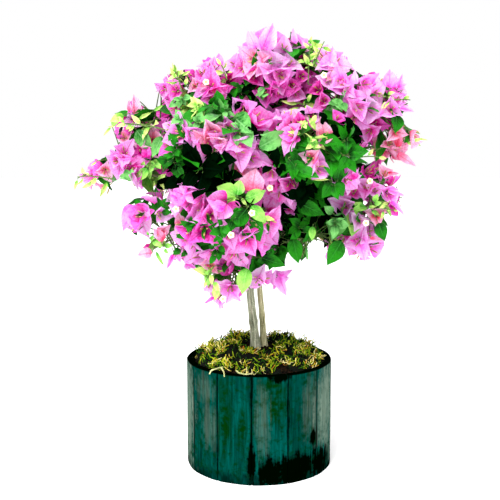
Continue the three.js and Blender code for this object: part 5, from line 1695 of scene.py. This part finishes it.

# Bracts
# Each flower head is three papery bracts, broad and drawn out to a point, set round its flowers like
# a loose cup. They are thin enough for light to come through, pale lilac pink to deep magenta. The
# deep magenta of heads in the crown's depth is painted shade, and the palest lilac is partly the
# bracts' own colour and partly painted light where the crown is lit.
BRACT_ROWS = [(0.02, 0.4), (0.07, 0.76), (0.16, 0.97), (0.28, 1.0), (0.42, 0.96), (0.56, 0.84), (0.7, 0.62),
              (0.83, 0.36), (0.93, 0.13)]
BRACT_HALF_WIDTH = 0.46
BRACT_ACROSS = [-1, -0.72, -0.36, 0, 0.36, 0.72, 1]
BRACT_SHAPES = [  # in the leaves' order
    (0.1, 0.7, 0.06, 0.07, 0.0), (0.2, 0.45, 0.3, 0.08, 0.3), (0.0, 0.3, 0.5, 0.09, -0.5),
    (0.15, 0.9, -0.1, 0.07, 0.2), (0.05, 0.4, 0.24, 0.1, 0.6)]
BRACT_VEINS = 8.0
BRACT_SPREAD = 1.2  # how far from the head's middle each bract stands
BRACT_FINISHES = {  # its foot, darkest and lightest skin, its veins; the foot colour is painted shade
    # The pale tint is partly the bracts' own lilac and partly painted light where the crown is lit
    "pale": ("pale_lilac_bract_painted_light", "#FF40CC", "#FF90F0", "#FFD8FF", "#F870D8"),
    "mid": ("pink_bract_paper", "#E4009C", "#FF60D4", "#FFC0FC", "#E42CB0"),
    # The deep tint is painted shade for heads deep in the crown
    "deep": ("painted_shade_magenta_bract", "#B4008C", "#E814A8", "#FF84E8", "#A80088"),
    "salmon": ("salmon_bract_paper", "#F04868", "#FF84B0", "#FFD4F0", "#D85080"),
}
bract_shapes, bract_uv, bract_faces = blade_kind(BRACT_ROWS, BRACT_HALF_WIDTH, BRACT_ACROSS, BRACT_SHAPES)
flower_feet = []
for tint, grown in heads.items():
    name, foot_colour, shade, light, vein = BRACT_FINISHES[tint]
    finish = veined(name, foot_colour, shade, light, vein, BRACT_VEINS, see_through=0.5, roughness=0.6,
                    gloss=0.05, crumple=1.6 * MM)
    random = np.random.default_rng(TINTS.index(tint) + 40)
    blades = list(lone_bracts[tint])
    for foot, axis, size, opening, first_turn, tone in grown:
        side, other = square_to(axis)
        for k in range(3):
            turn = first_turn + k * math.tau / 3 + random.normal(0, 0.16)
            spoke = side * math.cos(turn) + other * math.sin(turn)
            open_way = opening + random.normal(0, 0.14)
            along = unit(spoke * open_way + axis * 0.7)
            inward = unit(axis * open_way - spoke * 0.7)
            length = fitted(foot, along, inward, BRACT_LENGTH * size * random.uniform(0.9, 1.12))
            if length:
                blades.append((foot + spoke * BRACT_SPREAD, along, inward, length, random.integers(5),
                               np.clip(tone + random.normal(0, 0.2), 0, 1), 1))
        flower_feet.append((foot, axis, side, other, first_turn, size))
    mesh = strewn(f"bracts_{tint}", bract_shapes, bract_uv, bract_faces, blades, finish)
    add_piece(f"bracts_{tint}", mesh, all_masses)

# Flowers
# In each head stand three slender flower tubes. Most are closed buds, olive and tan, and some have
# opened into a small cream star with a yellow throat.
TUBE_LENGTH = 17
TUBE_RADII = [0.7, 0.6, 0.8, 1.15, 1.1, 0.5]
TUBE_SIDES = 4
TUBE_LEAN = 0.3  # away from the head's axis
TUBE_ASIDE = 1.5  # a tube's foot from that axis
STAR_RADIUS = 4.8
STAR_CORNERS = 10  # five lobes and the notches between them
NOTCH = 0.8
THROAT = 0.4  # where the star's flat part begins
THROAT_DEPTH = 0.8
RUFFLE = 0.5
STAR_TUBE_LENGTH = 30  # of the stars on the photographed side, which stand out of their head
STAR_DEPTH = 8  # and how deep in the crown their tubes have their foot
OPEN_SHARE = 0.05

random = np.random.default_rng(77)
tubes = []
stars = []


def grow_tube(start, way, length):
    """A flower tube, swollen past its middle. Returns its mouth."""
    line = np.array([start + way * length * share for share in np.linspace(0, 1, len(TUBE_RADII))])
    tubes.append(limb(line, TUBE_RADII, TUBE_SIDES))
    return line[-1]


for foot, axis, side, other, first_turn, size in flower_feet:
    for k in range(3):
        turn = first_turn + (k + 0.5) * math.tau / 3
        lean = side * math.cos(turn) + other * math.sin(turn)
        way = unit(axis + TUBE_LEAN * lean)
        mouth = grow_tube(foot + lean * TUBE_ASIDE, way, TUBE_LENGTH * size * random.uniform(0.8, 1.15))
        if foot[1] > 0 and random.uniform() < OPEN_SHARE:
            stars.append((mouth, way, side, size * random.uniform(0.85, 1.1)))
for u, v in STARS_SEEN:
    place, _ = on_front(u, v)
    way = unit(EYE - place)
    stars.append((grow_tube(place - way * STAR_DEPTH, way, STAR_TUBE_LENGTH), way, RIGHT, 1.0))


def flower_bud():
    """A downy flower tube: olive in its furrows, and tan along its ridges, 1 mm apart."""
    material, tree, surface = new_finish("downy_flower_bud", Roughness=0.7)
    flat = add_node(tree, "ShaderNodeUVMap", uv_map="UVMap")
    ridge_place = add_node(tree, "ShaderNodeMapping", {"Vector": flat, "Scale": (0.09, 0.9, 1)})
    ridge = add_node(tree, "ShaderNodeTexNoise", {"Vector": ridge_place, "Scale": 1.0})
    colours = add_node(tree, "ShaderNodeValToRGB", {0: ridge})
    set_stops(colours, (0.38, "#6E7A24"), (0.62, "#DCB07C"))
    give_skin(tree, surface, colours.outputs[0], ridge, 0.4, 0.3 * MM)
    return material


def star_petal():
    """A waxy cream petal that turns yellow towards the flower's throat."""
    material, tree, surface = new_finish("cream_star_petal", Roughness=0.5)
    tone = add_node(tree, "ShaderNodeAttribute", attribute_name="tone").outputs["Fac"]
    colours = add_node(tree, "ShaderNodeValToRGB", {0: tone})
    set_stops(colours, (0.15, "#D9CC3A"), (0.5, "#FFF6C4"))
    place = add_node(tree, "ShaderNodeTexCoord").outputs["Object"]
    # A crinkle every 1.4 mm, as coarse as it needs to show
    crinkle = add_node(tree, "ShaderNodeTexNoise", {"Vector": place, "Scale": 700.0})
    give_skin(tree, surface, colours.outputs[0], crinkle, 0.3, 0.3 * MM)
    return material


add_limbs("flower_tubes", tubes, flower_bud(), all_masses)

star_places, star_faces, star_tones = [], [], []
for centre, way, side, size in stars:
    other = np.cross(way, side)
    first = len(star_places)
    star_places.append(centre - way * THROAT_DEPTH)
    star_tones.append(0)
    for ring, share in enumerate((THROAT, 1.0)):
        for j in range(STAR_CORNERS):
            notch = (NOTCH, 1.0)[j % 2] if ring else 1
            turn = j * math.tau / STAR_CORNERS
            spoke = side * math.cos(turn) + other * math.sin(turn)
            ruffle = RUFFLE * ring * math.sin(5 * turn + 1)
            star_places.append(centre + spoke * STAR_RADIUS * size * share * notch + way * ruffle)
            star_tones.append(share)
    for j in range(STAR_CORNERS):
        inner, next_inner = first + 1 + j, first + 1 + (j + 1) % STAR_CORNERS
        star_faces.append([first, inner, next_inner])
        star_faces.append([inner, inner + STAR_CORNERS, next_inner + STAR_CORNERS, next_inner])
star_mesh = mesh_of("flower_stars", star_places, star_faces, star_petal(), tone=star_tones)
add_piece("flower_stars", star_mesh, all_masses)

# Studio
# A plain pale floor, a white surround, and soft light from the upper left front, seen from the
# photograph's side and height.
FLOOR_SIZE = 12000
LAMPS = [("key_light", (-900, -1300, 1700), 1200, 32), ("fill_light", (1500, -1100, 900), 1400, 12),
         ("top_light", (200, 500, 2100), 1500, 20)]  # where each stands, its size and its watts
LAMP_AIM = np.array([0, 0, 420])
SKY_LIGHT = 3.7  # an even, soft light from the upper left front, watts a square metre
SKY_WIDTH_DEG = 45
SKY_TILT_DEG = 35
SKY_TURN_DEG = -30
FILL_LIGHT = 0.9  # what the white surround gives from every side

floor_places = np.array([(-1, -1, 0), (1, -1, 0), (1, 1, 0), (-1, 1, 0)]) * FLOOR_SIZE / 2
paper, _, paper_surface = new_finish("pale_matt_floor", Roughness=0.9)
paper_surface.inputs["Base Color"].default_value = linear("#F4F4F4")
floor_mesh = mesh_of("studio_floor", floor_places, [[0, 1, 2, 3]], paper)
studio_floor = bpy.data.objects.new("studio_floor", floor_mesh)
bpy.context.scene.collection.objects.link(studio_floor)
studio_floor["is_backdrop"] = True

world = bpy.data.worlds.new("white_surround")
bpy.context.scene.world = world
world.use_nodes = True
seen_or_lit = add_node(world.node_tree, "ShaderNodeLightPath").outputs["Is Camera Ray"]
brightness = add_node(world.node_tree, "ShaderNodeMapRange", {"Value": seen_or_lit, "To Min": FILL_LIGHT})
world.node_tree.links.new(brightness.outputs[0], world.node_tree.nodes["Background"].inputs["Color"])

for name, place, size, power in LAMPS:
    lamp = bpy.data.objects.new(name, bpy.data.lights.new(name, "AREA"))
    lamp.data.size = size * MM
    lamp.data.energy = power
    aim = unit(LAMP_AIM - np.array(place))
    lamp.location = np.array(place) * MM
    lamp.rotation_euler = (math.acos(-aim[2]), 0, math.atan2(aim[0], -aim[1]) + math.pi)
    bpy.context.scene.collection.objects.link(lamp)

sky_lamp = bpy.data.objects.new("sky_light", bpy.data.lights.new("sky_light", "SUN"))
sky_lamp.data.energy = SKY_LIGHT
sky_lamp.data.angle = math.radians(SKY_WIDTH_DEG)
sky_lamp.rotation_euler = (math.radians(SKY_TILT_DEG), 0, math.radians(SKY_TURN_DEG))
bpy.context.scene.collection.objects.link(sky_lamp)

camera = bpy.data.objects.new("camera", bpy.data.cameras.new("camera"))
camera.data.lens = LENS
camera.location = EYE * MM
camera.rotation_euler = (math.pi / 2 - TILT_DOWN, 0, 0)
bpy.context.scene.collection.objects.link(camera)
bpy.context.scene.camera = camera
bpy.context.scene.view_settings.view_transform = "Standard"

size = {"cad": [list(corner) for corner in cad_box], "visual": [list(corner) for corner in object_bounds()]}
